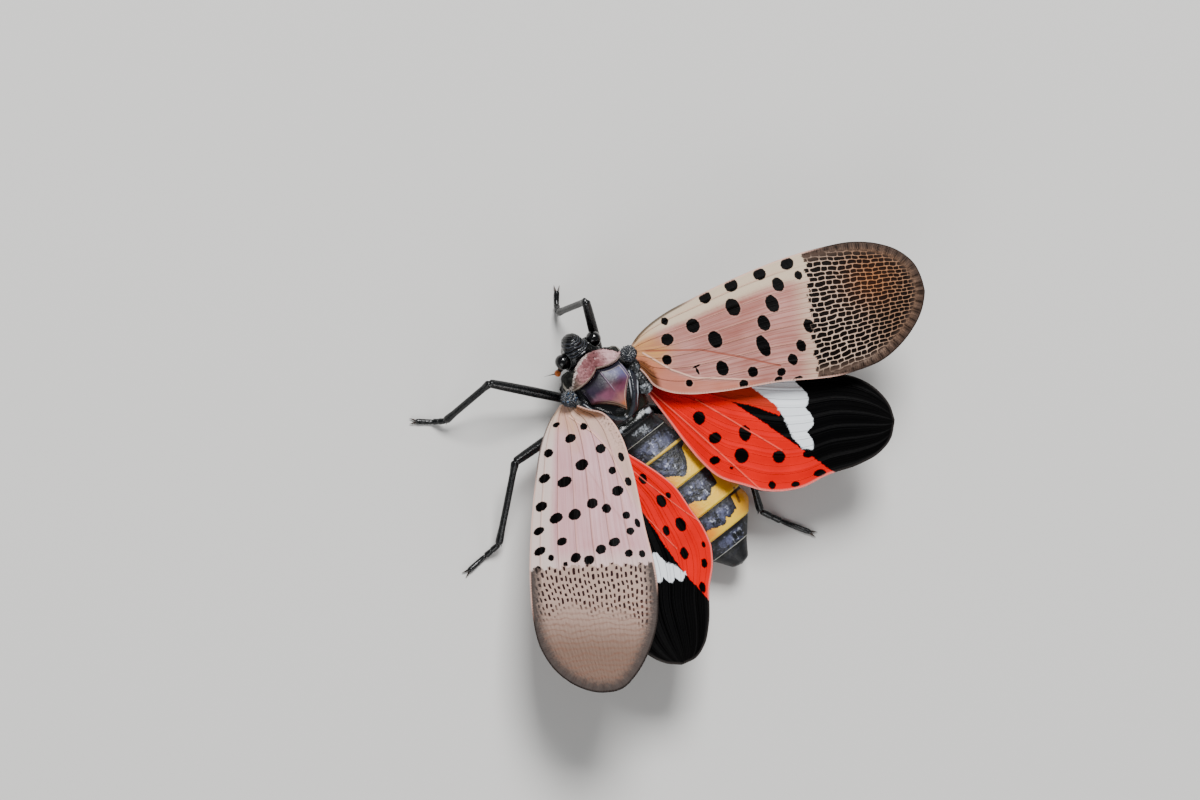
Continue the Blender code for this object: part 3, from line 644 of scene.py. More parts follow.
FOREWING_PAINTS = {
    RIGHT: forewing_finish(
        "forewing_right_membrane",
        ((146, 92, 84), (182, 134, 126)), (204, 186, 160), (196, 142, 74),
        ((176, 100, 76), (190, 122, 104)),
        ((188, 162, 144), (140, 108, 86), (78, 63, 55)),
        ((16, 8, 5), (52, 28, 14)), NET[RIGHT][4:], 30.0, 1.0,
    ),
    LEFT: forewing_finish(
        "forewing_left_membrane",
        ((192, 142, 146), (212, 170, 174)), (208, 192, 182), (190, 152, 104),
        ((184, 156, 128), (198, 168, 152)),
        ((168, 142, 130), (116, 94, 83), (74, 67, 64)),
        ((44, 28, 28), (116, 82, 68)), NET[LEFT][4:], 16.4, 0.2,
    ),
}
for name, (side, root, sweep, lift, roll) in FOREWINGS.items():
    pose = (side, root, sweep, lift, roll, FOREWING_CAMBER, SPREAD)
    front, rear = FOREWING_FRONT + FRONT_TIP[side], FOREWING_REAR + REAR_TIP[side]
    upper, lower, out, forward, across_wing = wing_sheet(front, rear, *pose, raised_veins, FOREWING_GRID)
    margin, rim = from_edge(out, forward, front, rear)
    step, down, along = net_lines(side, out, forward)
    hollows = net_hollows(side, down, along) * smooth(0.0, 0.2, step)
    hollows = hollows * smooth(0.15, 0.4, margin - 0.42 * smooth(14.5, 18.5, out))
    dent = CELL_DEPTH * hollows[..., None] * unit(upper - lower)
    measured = np.array(FOREWING_SPOTS[side])
    places = np.column_stack([measured[:, :2], np.ones(len(measured))]) @ np.array(SEEN[side]).T
    spots = np.column_stack([places, measured[:, 2:]])
    glow = bell(out - GLOW_PLACE[0], GLOW_SIZE[0]) * bell(forward - GLOW_PLACE[1], GLOW_SIZE[1])
    values = {
        "out": out, "forward": forward, "margin": margin, "rim": rim, "ray": across_wing * HAIR_ROWS,
        "net": step, "row": down, "cell": along,
        "glow": glow * (side == RIGHT),
        "vein": crests(across_wing, FOREWING_VEINS, 0.006) * smooth(13.6, 11.0, out),
        "seam": from_path(out, forward, SEAM_LINE), "lobe_vein": from_path(out, forward, LOBE_VEIN),
        "lobe": np.interp(out, *np.array(LOBE_VEIN).T) - forward,
        "spot": from_spots(out, forward, spots, FOREWING_SPOT_SLANT[side]),
    }
    add_sheet(
        f"{name}_membrane", upper - dent, lower + dent, FOREWING_PAINTS[side], values,
        side == LEFT, name,
    )


# The thorax and the abdomen are hard black rings, each one sleeved over the next, dusted with pale wax
# along the back and yellow at their rear edges and flanks. One closed skin runs from neck to tail.
BODY = [
    (-1.95, 2.05, 4.72, 2.60), (-1.60, 2.40, 4.92, 2.30), (-1.20, 2.48, 4.98, 2.10),
    (-0.40, 2.50, 5.10, 1.85), (0.70, 2.54, 5.24, 1.80), (1.90, 2.40, 5.24, 1.80),
    (3.00, 2.20, 5.00, 1.80), (4.00, 2.05, 4.70, 1.85), (5.20, 2.30, 4.40, 1.50),
    (7.00, 2.65, 4.30, 1.35), (9.60, 3.12, 4.25, 1.25), (12.30, 3.52, 4.15, 1.20),
    (13.30, 3.52, 4.05, 1.20), (14.30, 2.74, 3.80, 1.20), (15.60, 1.60, 3.30, 1.25),
    (17.05, 0.55, 2.60, 1.60),
]
RING_ENDS = np.array([3.35, 4.15, 5.2, 7.0, 9.6, 12.3, 14.3, 15.6, 17.05])
RING_STEP = 0.05
TAIL_BEND, BEND_START, BEND_LENGTH = -0.75, 4.3, 12.75
BODY_GRID = (500, 180)
# How wide the pale line is at each ring's rear edge, where a ring has one.
LINE_WIDTHS = np.array([-1, -1, 0.07, 0.24, -1, -1, -1, 0.07, -1.0])
# How far before each ring's end its black gives way to yellow, at distances to the left of the midline.
YELLOW_DEPTHS = {
    4: (
        (-3.1, 2.7), (-1.9, 2.2), (-1.55, 1.3), (-1.15, 0.8), (-0.75, 0.42), (-0.5, 0.35), (0.0, 0.8),
        (0.5, 1.1), (1.5, 1.3), (3.0, 2.6),
    ),
    5: (
        (-3.2, 3.0), (-2.5, 2.8), (-2.15, 1.15), (-1.5, 1.15), (-1.2, 0.85), (-0.6, 0.7), (0.1, 1.15),
        (1.2, 1.3), (2.2, 1.5), (3.2, 3.0),
    ),
    6: (
        (-2.9, 2.5), (-2.4, 2.1), (-2.05, 0.85), (-1.2, 0.6), (-1.0, 0.85), (-0.6, 0.42), (0.0, 0.6),
        (0.5, 0.8), (1.9, 1.0), (2.9, 2.4),
    ),
}
# A dark fold on the right flank, and the grooves between the side plates of the thorax: (place on the belly's
# level, how far it leans back for each mm upward).
FLANK_FOLD = ((-2.96, 12.2), (-2.57, 13.2))
SIDE_GROOVES = ((-0.55, 0.30), (0.75, -0.25), (1.95, 0.35))
PORE_PLACES = tuple((middle, 3.25, 0.13, 0.17) for middle in (6.1, 8.2, 10.8, 13.2, 14.9))
RIDGE = ((2.05, 0.55), (1.86, 1.3), (1.45, 2.1), (0.85, 2.85), (0.25, 3.25))
WAX_PATCHES = (
    (-2.55, 2.30, 0.38, 0.6), (-1.62, 3.70, 0.36, 0.75), (1.0, 3.72, 0.30, 0.6), (-0.45, 4.62, 0.62, 0.55),
    (0.35, 4.55, 0.40, 0.35), (-2.35, 1.35, 0.30, 0.5),
)


def oval(columns, power):
    """Once round |side|^p + |up|^p = 1: the signs of cos and sin times |cos|^(2/p) and |sin|^(2/p)."""
    turn = np.linspace(0, 2 * np.pi, columns, endpoint=False)
    return (np.sign(wave) * np.abs(wave) ** (2 / power) for wave in (np.cos(turn), np.sin(turn)))


def body_skin():
    """Places of the skin and the values painted on it.

    Each row is |x / w|^p + |z / h|^p = 1 about its middle, p falling from 3 to 2; every ring widens by
    RING_STEP towards its end and steps in there. The back of the thorax is raised by a bell curve of
    the distance to the curved ridge, and by lower ones at the waxed plates beside the wings.
    """
    rows, columns = BODY_GRID
    stations = np.array(BODY)
    y = np.linspace(stations[0, 0], stations[-1, 0], rows)
    half_width, top, bottom = spline(stations[:, 0], stations[:, 1:], y).T
    ring = np.minimum(np.searchsorted(RING_ENDS, y, side="left"), len(RING_ENDS) - 1)
    starts = np.concatenate([[stations[0, 0]], RING_ENDS[:-1]])
    before_end, length = RING_ENDS[ring] - y, RING_ENDS[ring] - starts[ring]
    lip = smooth(0.0, 0.09, before_end)
    swell = 1 + RING_STEP * ((1 - 2 * before_end / length) * lip - (1 - lip)) * smooth(2.4, 3.3, y)
    close = np.sqrt(np.clip(1 - smooth(16.75, 17.05, y) ** 2 * 0.999, 0, 1))
    close = close * np.sqrt(smooth(-2.0, -1.8, y) + 0.02)
    sideways, upward = oval(columns, (3 - smooth(3.0, 7.0, y))[:, None])
    x = (half_width * close * (1 + (swell - 1) * 0.35))[:, None] * sideways
    z = ((top + bottom) / 2)[:, None] + ((top - bottom) / 2 * swell * close)[:, None] * upward
    y = np.broadcast_to(y[:, None], x.shape)

    back = np.clip(upward, 0, 1) ** 0.5
    ridges = np.minimum(*(from_path(x * side, y, RIDGE) for side in (LEFT, RIGHT)))
    ridge = bell(ridges, 0.26)
    bells = [
        strength * bell(np.hypot(x - place, y - tail), size) for place, tail, size, strength in WAX_PATCHES
    ]
    wax = np.clip(np.sum(bells, axis=0), 0, 1)
    dip = smooth(2.2, 3.2, y) * smooth(3.9, 3.3, y)
    z = z + back * (0.34 * ridge + 0.10 * wax * smooth(4.3, 3.9, y) - 0.16 * dip)
    side_face = smooth(1.3, 1.9, np.abs(x)) * smooth(0.75, 0.3, np.abs(upward))
    grooves = sum(bell(y - place - lean * (z - 3.2), 0.07) for place, lean in SIDE_GROOVES)
    pleat = bell(upward + 0.28, 0.08) * smooth(5.4, 6.2, y) * smooth(15.6, 14.8, y)
    x = x - np.sign(x) * (0.10 * grooves * side_face * smooth(3.1, 2.7, y) + 0.12 * pleat)
    hinge = bell(y - 0.9, 1.3) * bell(z - 4.5, 0.75) * smooth(1.2, 2.3, np.abs(x))
    x = x + np.sign(x) * 0.5 * hinge
    bent = x + TAIL_BEND * np.clip((y - BEND_START) / BEND_LENGTH, 0, 1)

    depth = np.full(x.shape, -1.0)
    for number, edge in YELLOW_DEPTHS.items():
        left, amount = np.array(edge).T
        teeth = 0.10 * np.abs((x * 2.3 + number * 0.37) % 1.0 - 0.5) - 0.03
        depth = np.where((ring == number)[:, None], np.interp(x, left, amount) + teeth, depth)
    before_end = np.broadcast_to(before_end[:, None], x.shape)
    below = smooth(0.1, -0.25, upward) * smooth(6.5, 7.5, y) * smooth(14.6, 14.2, y)
    flank = below * smooth(1.5, 2.0, np.abs(x)) * 2.0 - 0.3
    above = upward > 0
    values = {
        "tail": y, "left": x, "before": before_end, "after": length[:, None] - before_end,
        "yellow": np.maximum(depth - before_end, flank), "line": LINE_WIDTHS[ring][:, None] - before_end,
        "bloom": bell(x + 0.35, 1.15) * smooth(4.6, 5.6, y) * smooth(16.2, 15.4, y) * above,
        "wax": wax * above, "ridge": ridge * above, "flank": smooth(0.4, -0.2, upward),
        "fold": from_path(x, y, FLANK_FOLD), "pore": from_spots(y, z, PORE_PLACES, 0.0),
    }
    return np.stack([bent, y, z], axis=-1), values


def body_finish():
    """Black cuticle with mottled wax, glossy on the thorax, yellow and cream where the attributes say so,
    with painted shade behind each ring's lip and painted highlights along the ridge.
    """
    paint, fine, grain, broad = new_paint("body_cuticle", (7.0, 5.0), (2.6, 4.0), (0.6, 2.0))
    tail, left, before, after = paint.reads("tail", "left", "before", "after")
    ridge, flank, yellow = paint.reads("ridge", "flank", "yellow")
    black = (broad * 2.0 + 0.4).over((4, 4, 6), (14, 15, 20))
    olive = tail.between(2.2, 3.0, 3.4, 4.0) * (broad * 2.0 + 0.5)
    black = (olive * 0.5).over(black, (44, 46, 34))
    # Painted shade: the wax bloom is left off the first 0.15 to 0.55 mm of each ring, which stays black as
    # the shadow of the ring ahead.
    waxed = paint.read("bloom") * after.rises(0.15, 0.55)
    base = (waxed * (grain * 3.0 + fine * 1.6 + broad * 2.0 + 0.3)).over(black, (92, 96, 126))
    brushed = paint.make("ShaderNodeCombineXYZ", {}, {"X": left, "Y": tail * 0.35, "Z": 0.0})
    specks = (paint.noise(brushed, 3.4, 4.0) * 1.5 + grain * 0.5 + fine * 0.9).rises(0.12, 0.42) * waxed
    base = (specks * 0.85).over(base, (196, 202, 220))
    wax = (paint.read("wax") + (grain + fine) * 0.7).rises(0.30, 0.75)
    base = (wax * 0.9).over(base, (176, 182, 190))
    base = (ridge.rises(0.30, 0.8) * 0.25).over(base, (70, 76, 88))
    # Painted highlights: a white line on each side of the ridge on the right of the thorax, where its glossy
    # black would catch the light.
    lines = ridge.between(0.22, 0.34, 0.42, 0.60) * left.rises(-0.9, -1.6) * tail.rises(0.3, 0.9)
    base = (lines * (0.7 + grain * 1.5)).over(base, (190, 194, 200))

    gold = left.rises(-1.2, -2.9).over((232, 184, 44), (200, 138, 0))
    gold = left.rises(-0.4, 0.9).over(gold, (228, 136, 8))
    gold = (before.rises(0.4, 0.05) * 0.5).over(gold, (212, 186, 50))
    gold = (flank * 0.5).over(gold, (190, 112, 8))
    cloud = (grain * 1.5 + broad * 1.5 + after.rises(1.4, 0.1) * 0.6).rises(0.2, 0.9)
    gold = (cloud * flank * 0.75).over(gold, (92, 46, 12))
    pore = (paint.read("pore") + fine * 0.1).rises(0.05, -0.02) * flank
    gold = pore.over(gold, (24, 14, 10))
    band = (yellow + fine * 0.28 + grain * 0.12).rises(-0.03, 0.05)
    edge = (yellow + grain * 0.3).rises(-0.3, 0.0) * (1 - band)
    base = band.over((edge * 0.7).over(base, (7, 6, 8)), gold)

    fold = (paint.read("fold") + fine * 0.12).rises(0.16, 0.06)
    base = (fold * 0.75).over(base, (58, 26, 14))
    line = (paint.read("line") + fine * 0.03).rises(-0.02, 0.02)
    base = line.over(base, tail.between(5.5, 6.8, 8.0, 9.0).over((204, 204, 190), (196, 160, 56)))
    # Black at each ring joint: the dark seam at a ring's very end, and past it a painted shadow of the ring
    # ahead over the next ring's first 0.16 to 0.3 mm.
    seam = (before.rises(0.035, 0.0) + after.rises(0.30, 0.16)) * tail.rises(3.0, 3.2)
    base = seam.over(base, (6, 5, 5))
    gloss = tail.rises(4.8, 3.8)
    rough = 0.44 - gloss * 0.20 + fine * 0.25 + wax * 0.2
    relief = grain * 0.05 * (1 - gloss * 0.6) + fine * 0.02
    return paint.finish(base, rough, relief, {"Specular IOR Level": 0.45})


def add_solid(name, shapes, finish, replaces=(), values=()):
    """One piece of closed shapes, each of rows of points that run round a tube or a ball.

    A point is added at the middle of each end row, and a fan of triangles closes the row. Values are
    given shape by shape, as grids or single numbers; the added points take those of the end rows.
    """
    places, quads, fans, count, kept = [], [], [], 0, {}
    for points in shapes:
        rows, columns = points.shape[:2]
        first, last = np.arange(columns), (rows - 1) * columns + np.arange(columns)
        middle = np.full(columns, rows * columns)
        places.append(np.vstack([points.reshape(-1, 3), points[0].mean(axis=0), points[-1].mean(axis=0)]))
        quads.append(grid_quads(rows, columns, True)[:, ::-1] + count)
        fans.append(np.stack([first, np.roll(first, -1), middle], -1) + count)
        fans.append(np.stack([np.roll(last, -1), last, middle + 1], -1) + count)
        count += rows * columns + 2
    for points, own in zip(shapes, values):
        for title, number in own.items():
            grid = np.broadcast_to(number, points.shape[:2])
            kept.setdefault(title, []).append(np.append(grid, [grid[0, 0], grid[-1, 0]]))
    kept = {title: np.concatenate(numbers) for title, numbers in kept.items()}
    add_piece(name, np.vstack(places), np.vstack(quads), finish, kept, np.vstack(fans), replaces)


skin, skin_values = body_skin()
add_solid("body_skin", [skin], body_finish(), ["thorax", "abdomen"], [skin_values])


# The head is a hard black capsule with a round wrinkled knob in front, a keeled face running down to
# the beak, and a hollow on each side where an eye and, below it, a feeler are set.
HEAD_PLACE = np.array([-0.18, 0.08, 0.0])
HEAD_MIDDLE = np.array([0.0, -3.05, 4.10])
KNOB_FRONT = np.array([0.10, -4.15, 5.00])
EYE_PLACE, EYE_RADII = np.array([1.46, -2.98, 4.45]), np.array([0.55, 0.58, 0.60])
HEAD_LOBES = (
    ((0.11, -3.55, 4.50), (0.80, 0.86, 0.94)),
    ((0.00, -2.75, 4.25), (1.15, 0.80, 0.98)),
    ((0.60, -2.92, 4.02), (0.88, 0.62, 0.70)),
    ((-0.60, -2.92, 4.02), (0.88, 0.62, 0.70)),
    ((0.00, -3.28, 3.45), (0.98, 0.80, 1.35)),
    ((0.00, -3.00, 2.95), (0.58, 0.60, 1.68)),
    ((0.00, -2.30, 4.15), (1.45, 0.98, 0.88)),
)
HEAD_GRID = (270, 300)


def rays(rows, columns, pole=0.01):
    """Rays (sin t cos f, -cos t, sin t sin f) out to all sides, the end rows at t = pole off the y axis."""
    tilt = np.linspace(pole, np.pi - pole, rows)[:, None]
    turn = np.linspace(0, 2 * np.pi, columns, endpoint=False)
    parts = (np.sin(tilt) * np.cos(turn), -np.cos(tilt), np.sin(tilt) * np.sin(turn))
    return np.stack(np.broadcast_arrays(*parts), axis=-1)


def head_skin():
    """Places and values of the capsule, from rays sent out of its middle.

    Each lobe is an ellipsoid round the middle; a ray leaves it at t = (sqrt(B^2 - A C) - B) / A. The
    radius is the soft maximum (sum of t^16)^(1/16), plus wrinkles sin(2 pi r / 0.2) in arcs round the
    knob's front, low keels down the face, and a raised rim round each eye.
    """
    ray = rays(*HEAD_GRID, 0.004)
    reach = 0.0
    for centre, radii in HEAD_LOBES:
        offset = (HEAD_MIDDLE - centre) / radii
        a, b, c = ((ray / radii) ** 2).sum(-1), (ray / radii * offset).sum(-1), (offset**2).sum() - 1
        reach = reach + ((np.sqrt(b * b - a * c) - b) / a) ** 16
    reach = reach ** (1 / 16)
    surface = HEAD_MIDDLE + ray * reach[..., None]
    x, y, z = surface[..., 0], surface[..., 1], surface[..., 2]
    ring = np.linalg.norm((surface - KNOB_FRONT) * (1.0, 1.0, 0.8), axis=-1)
    knob = smooth(1.25, 0.9, np.hypot(x - 0.11, y + 3.55)) * smooth(4.3, 4.7, z)
    warp = 0.5 * np.sin(5 * x + 2 * y) + 0.35 * np.sin(9 * y - 4 * x)
    wrinkle = np.sin(2 * np.pi * ring / 0.2 + warp * 2.2)
    wrinkles = knob * smooth(0.25, 0.6, ring) * (0.5 + 0.5 * wrinkle)
    face = smooth(4.7, 4.2, z) * smooth(1.9, 2.5, z) * smooth(-3.2, -3.6, y)
    keels = face * crests(x, (-0.46, 0.0, 0.46), 0.05)
    groove = bell(z - 2.35, 0.05) * smooth(-2.9, -3.2, y)
    rim = 0.0
    for side in (LEFT, RIGHT):
        from_eye = np.linalg.norm((surface - EYE_PLACE * (side, 1, 1)) / EYE_RADII, axis=-1)
        rim = rim + bell(from_eye - 1.22, 0.11)
        reach = reach - 0.12 * smooth(1.15, 0.9, from_eye)
    reach = reach + 0.045 * wrinkles + 0.06 * keels - 0.05 * groove + 0.06 * rim
    reach = reach + 0.012 * np.sin(23 * x + 7 * z) * np.sin(19 * y + 5 * x)
    values = {"wrinkle": wrinkles, "keel": keels, "rim": rim}
    return HEAD_MIDDLE + HEAD_PLACE + ray * reach[..., None], values


def cuticle(name, dull, bright, roughness, pits=0.02):
    """Horny skin before it is joined to the shader: colour clouded between two tones, pits, roughness."""
    paint, fine, grain = new_paint(name, (8.0, 5.0), (1.6, 3.0))
    base = (grain * 2.0 + 0.5).over(dull, bright)
    return paint, base, roughness + fine * 0.3 + grain * 0.1, fine * pits + grain * 0.02, fine


def plain_cuticle(*tones):
    paint, base, rough, relief, _ = cuticle(*tones)
    return paint.finish(base, rough, relief)


def head_finish():
    paint, base, rough, relief, fine = cuticle("head_cuticle", (3, 3, 4), (12, 12, 14), 0.24, 0.01)
    # Painted glints: a grey tint on the tops of the knob's wrinkles.
    wrinkle_glint = (paint.read("wrinkle") + fine * 0.6).rises(0.45, 1.0)
    base = (wrinkle_glint * 0.45).over(base, (66, 70, 80))
    base = (paint.read("rim").rises(0.5, 1.0) * 0.3).over(base, (90, 92, 90))
    base = (paint.read("keel") * 0.3).over(base, (70, 58, 44))
    return paint.finish(base, rough, relief, {"Specular IOR Level": 0.4})


head, head_values = head_skin()
add_solid("head_capsule", [head], head_finish(), ["head"], [head_values])


# The compound eyes are smooth glossy black balls that mirror the room; a pale bead, the simple eye,
# sits in front of each.
OCELLUS_PLACE, OCELLUS_RADIUS = np.array([0.98, -3.42, 3.72]), 0.09
EYE_GRID, OCELLUS_GRID = (72, 96), (20, 24)
SIDES = ((LEFT, "left"), (RIGHT, "right"))


def eye_finish():
    """Black under a clear coat, with the faintest net of facets."""
    paint, cloud = new_paint("eye_glass", (1.2, 2.0))
    edges, sockets = {"feature": "DISTANCE_TO_EDGE"}, {"Vector": paint.place(), "Scale": 28.0}
    facets = paint.make("ShaderNodeTexVoronoi", edges, sockets, output="Distance")
    base = (cloud * 2.0 + 0.5).over((4, 4, 5), (14, 13, 15))
    fixed = {"Coat Weight": 0.6, "Coat Roughness": 0.02, "Specular IOR Level": 0.2}
    return paint.finish(base, 0.05 + cloud * 0.04, facets.rises(0.0, 0.12) * 0.0012, fixed)


def bead_finish():
    paint, cloud = new_paint("simple_eye", (6.0, 2.0))
    base = (cloud * 2 + 0.5).over((150, 120, 70), (196, 168, 110))
    return paint.finish(base, 0.12 + cloud * 0.05, cloud * 0.002)


eye_paint, bead_paint = eye_finish(), bead_finish()
for side, word in SIDES:
    eye = rays(*EYE_GRID) * EYE_RADII + (EYE_PLACE * (side, 1, 1) + HEAD_PLACE)
    add_solid(f"compound_eye_{word}", [eye], eye_paint, [f"eye_{word}"])
    bead = rays(*OCELLUS_GRID) * OCELLUS_RADIUS + (OCELLUS_PLACE * (side, 1, 1) + HEAD_PLACE)
    add_solid(f"simple_eye_{word}", [bead], bead_paint)


# Each feeler is a black socket joint, a swollen pitted orange bulb with ring-shaped sense pores, and
# a bristle as fine as a hair.
BULB_RADIUS = 0.25
BRISTLE_GIRTH, BRISTLE_END, BRISTLE_SAG = 0.045, 0.008, 0.06
BULB_PLACES = {LEFT: (2.05, -2.56, 3.45), RIGHT: (-1.68, -2.72, 3.42)}
FEELER_TIPS = {LEFT: (2.95, -2.90, 3.75), RIGHT: (-2.05, -3.45, 3.15)}


def tube(path, widths, heights, columns, power=2.0, up=(0.3, 0.2, 1.0)):
    """Rings square to the path: |side / width|^p + |up / height|^p = 1, turned as little as possible."""
    path, widths, heights = (np.asarray(item, float) for item in (path, widths, heights))
    heading = unit(np.gradient(path, axis=0))
    beside = unit(np.cross(heading, up))
    above = np.cross(beside, heading)
    sideways, upward = oval(columns, power)
    rings = widths[:, None, None] * sideways[:, None] * beside[:, None]
    return path[:, None] + rings + heights[:, None, None] * upward[:, None] * above[:, None]


def bulb_finish():
    """Orange skin with dark-edged round pits."""
    paint, cloud = new_paint("feeler_bulb", (3.0, 3.0))
    sockets = {"Vector": paint.place(), "Scale": 9.0}
    hollow = paint.make("ShaderNodeTexVoronoi", {}, sockets, output="Distance").rises(0.32, 0.12)
    base = (cloud * 1.6 + 0.5).over((186, 78, 14), (212, 118, 36))
    base = (hollow * 0.55).over(base, (132, 62, 18))
    fixed = {"Subsurface Weight": 0.1, "Subsurface Scale": 0.0002}
    return paint.finish(base, 0.42 + cloud * 0.2, hollow * -0.02 + cloud * 0.01, fixed)


bulb_paint = bulb_finish()
bristle_paint = plain_cuticle("feeler_bristle", (30, 20, 14), (52, 36, 26), 0.4)
for side, word in SIDES:
    middle, tip = BULB_PLACES[side] + HEAD_PLACE, FEELER_TIPS[side] + HEAD_PLACE
    ahead = unit(tip - middle)
    steps = np.linspace(-1, 1, 60)
    girth = BULB_RADIUS * np.sqrt(np.clip(1 - steps**2, 0.001, 1)) * (1 + 0.04 * np.cos(steps * 22))
    bulb = tube(middle + np.outer(steps, ahead) * BULB_RADIUS, girth, girth, 64)
    add_solid(f"feeler_bulb_{word}", [bulb], bulb_paint, [f"antenna_{word}"])
    along = np.linspace(0, 1, 40)
    sag = np.outer(np.sin(along * np.pi), (0, 0, BRISTLE_SAG))
    taper = BRISTLE_GIRTH * (1 - along) ** 1.5 + BRISTLE_END
    hair_path = middle + ahead * BULB_RADIUS * 0.9 + np.outer(along, tip - middle) * 0.95 + sag
    socket_path = middle - np.linspace(0.7, 0.12, 12)[:, None] * (side * 0.85, 0.25, -0.1)
    socket_girth = 0.17 + 0.03 * np.sin(np.linspace(0, np.pi, 12))
    shapes = [tube(hair_path, taper, taper, 12), tube(socket_path, socket_girth, socket_girth, 32)]
    add_solid(f"feeler_bristle_{word}", shapes, bristle_paint)


# The beak is a jointed sheath folded back under the body, drawn out to a blunt dark tip.
BEAK_PATH = ((0.0, -3.05, 1.75), (0.0, -2.75, 1.32), (0.0, -1.2, 1.16), (0.0, 1.2, 1.08), (0.0, 3.30, 1.05))
BEAK_JOINTS = ((0.0, 0.30), (0.22, 0.25), (0.30, 0.30), (0.52, 0.22), (0.58, 0.26), (0.90, 0.19), (1.0, 0.09))
BEAK_LEAST_HEIGHT = 0.7

along = np.linspace(0, 1, 220)
path = curve(BEAK_PATH, along)
girth = np.interp(along, *np.array(BEAK_JOINTS).T)
girth = np.convolve(np.pad(girth, 3, mode="edge"), np.ones(7) / 7, mode="valid")
path[:, 2] = np.maximum(path[:, 2], girth + BEAK_LEAST_HEIGHT)
beak_paint = plain_cuticle("beak_cuticle", (12, 10, 9), (38, 28, 20), 0.35)
add_solid("beak_sheath", [tube(path, girth, girth * 0.9, 48)], beak_paint, ["rostrum"])


# Two plates of the same horn cover the thorax: a dusty pink collar whose dark ends fold down at the
# sides, and behind it a five-cornered shield of violet and maroon with a fine keel and pale rims.
PLATE_SHIFT = -0.15
COLLAR_HALF_WIDTH, SHIELD_HALF_WIDTH = 2.60, 1.80
PLATE_GRID = (120, 260)
PLATE_DEPTH, BEAD_PITCH = 0.62, 0.26


def plate(half_width, front_line, rear_line, height, dome, relief):
    """Upper and lower face, and the values, of a plate between two lines across the back.

    Place = (x, front + (rear - front) * t); height = height(x) + dome * sin(pi t), rolled down by
    0.3 mm over the outer 0.24 mm and edged with a row of beads 0.01 to 0.05 mm high.
    """
    rows, columns = PLATE_GRID
    x = np.linspace(-half_width, half_width, columns)[None, :] * np.ones((rows, 1))
    t = np.linspace(0, 1, rows)[:, None]
    front, rear = front_line(x), rear_line(x)
    y = front + (rear - front) * t
    edge = np.minimum(np.minimum(t, 1 - t) * (rear - front), (half_width - np.abs(x)) * 0.8)
    z = height(x) + dome * np.sin(np.pi * t) - 0.30 * (1 - smooth(0, 0.24, edge)) ** 2
    beads = 0.03 + 0.02 * np.sin(2 * np.pi * (x - 1.4 * y) / BEAD_PITCH)
    z = z + beads * bell(edge - 0.10, 0.045) + relief(x, y, t) * smooth(0.0, 0.3, edge)
    upper = np.stack([x + PLATE_SHIFT, y, z], axis=-1)
    lower = np.stack([x + PLATE_SHIFT, y, np.minimum(height(x) - PLATE_DEPTH, z - 0.05)], axis=-1)
    return upper, lower, {"left": x, "tail": y, "edge": edge, "ahead": y - front, "behind": rear - y}


def collar_front(x):
    """The parabola of the pale area, carried on ahead by the folded ends, the left one reaching further."""
    folded = -1.70 - 0.45 * smooth(1.3, 1.8, x) + 0.5 * smooth(2.1, 2.6, x)
    ahead = np.minimum(-2.30 + 0.28 * x**2 - 0.30 * smooth(0.9, 1.7, np.abs(x)), folded)
    return ahead + 0.5 * (1 - np.sqrt(1 - (np.clip(np.abs(x) - 1.98, 0, 0.62) / 0.63) ** 2))


def plate_seam(x):
    return -0.95 + 0.55 * np.abs(x) - 0.19 * x**2


def collar_relief(x, y, t):
    """A fine keel, two pressed marks beside it, and low wrinkles sin(9 y + 3 sin 4 x) across."""
    marks = sum(bell(np.hypot((x - place) / 0.8, (y + 1.5) / 1.3), 0.16) for place in (-0.32, 0.38))
    wrinkles = 0.030 * np.sin(9 * y + 3 * np.sin(4 * x)) * np.sin(7 * x + 4 * y)
    wrinkles = wrinkles + 0.020 * np.sin(21 * x + 6 * y) * np.sin(17 * y - 8 * x)
    return 0.05 * bell(x, 0.06) - 0.07 * marks + wrinkles + 0.02 * np.sin(26 * x) * smooth(0.25, 0.05, t)


def shield_rear(x):
    """Straight sides running in to a blunt point, drawn out a little at the point itself."""
    return 2.55 - 1.30 * np.abs(x) + 0.22 * x**2 + 0.18 * bell(x, 0.25)


def shield_relief(x, y, t):
    """A keel on the midline that fades to the rear, and a shallow hollow each side of it there."""
    fade = smooth(1.9, 0.8, y)
    return 0.05 * bell(x, 0.05) * fade - 0.05 * bell(np.abs(x) - 0.45, 0.3) * smooth(0.5, 1.6, y)


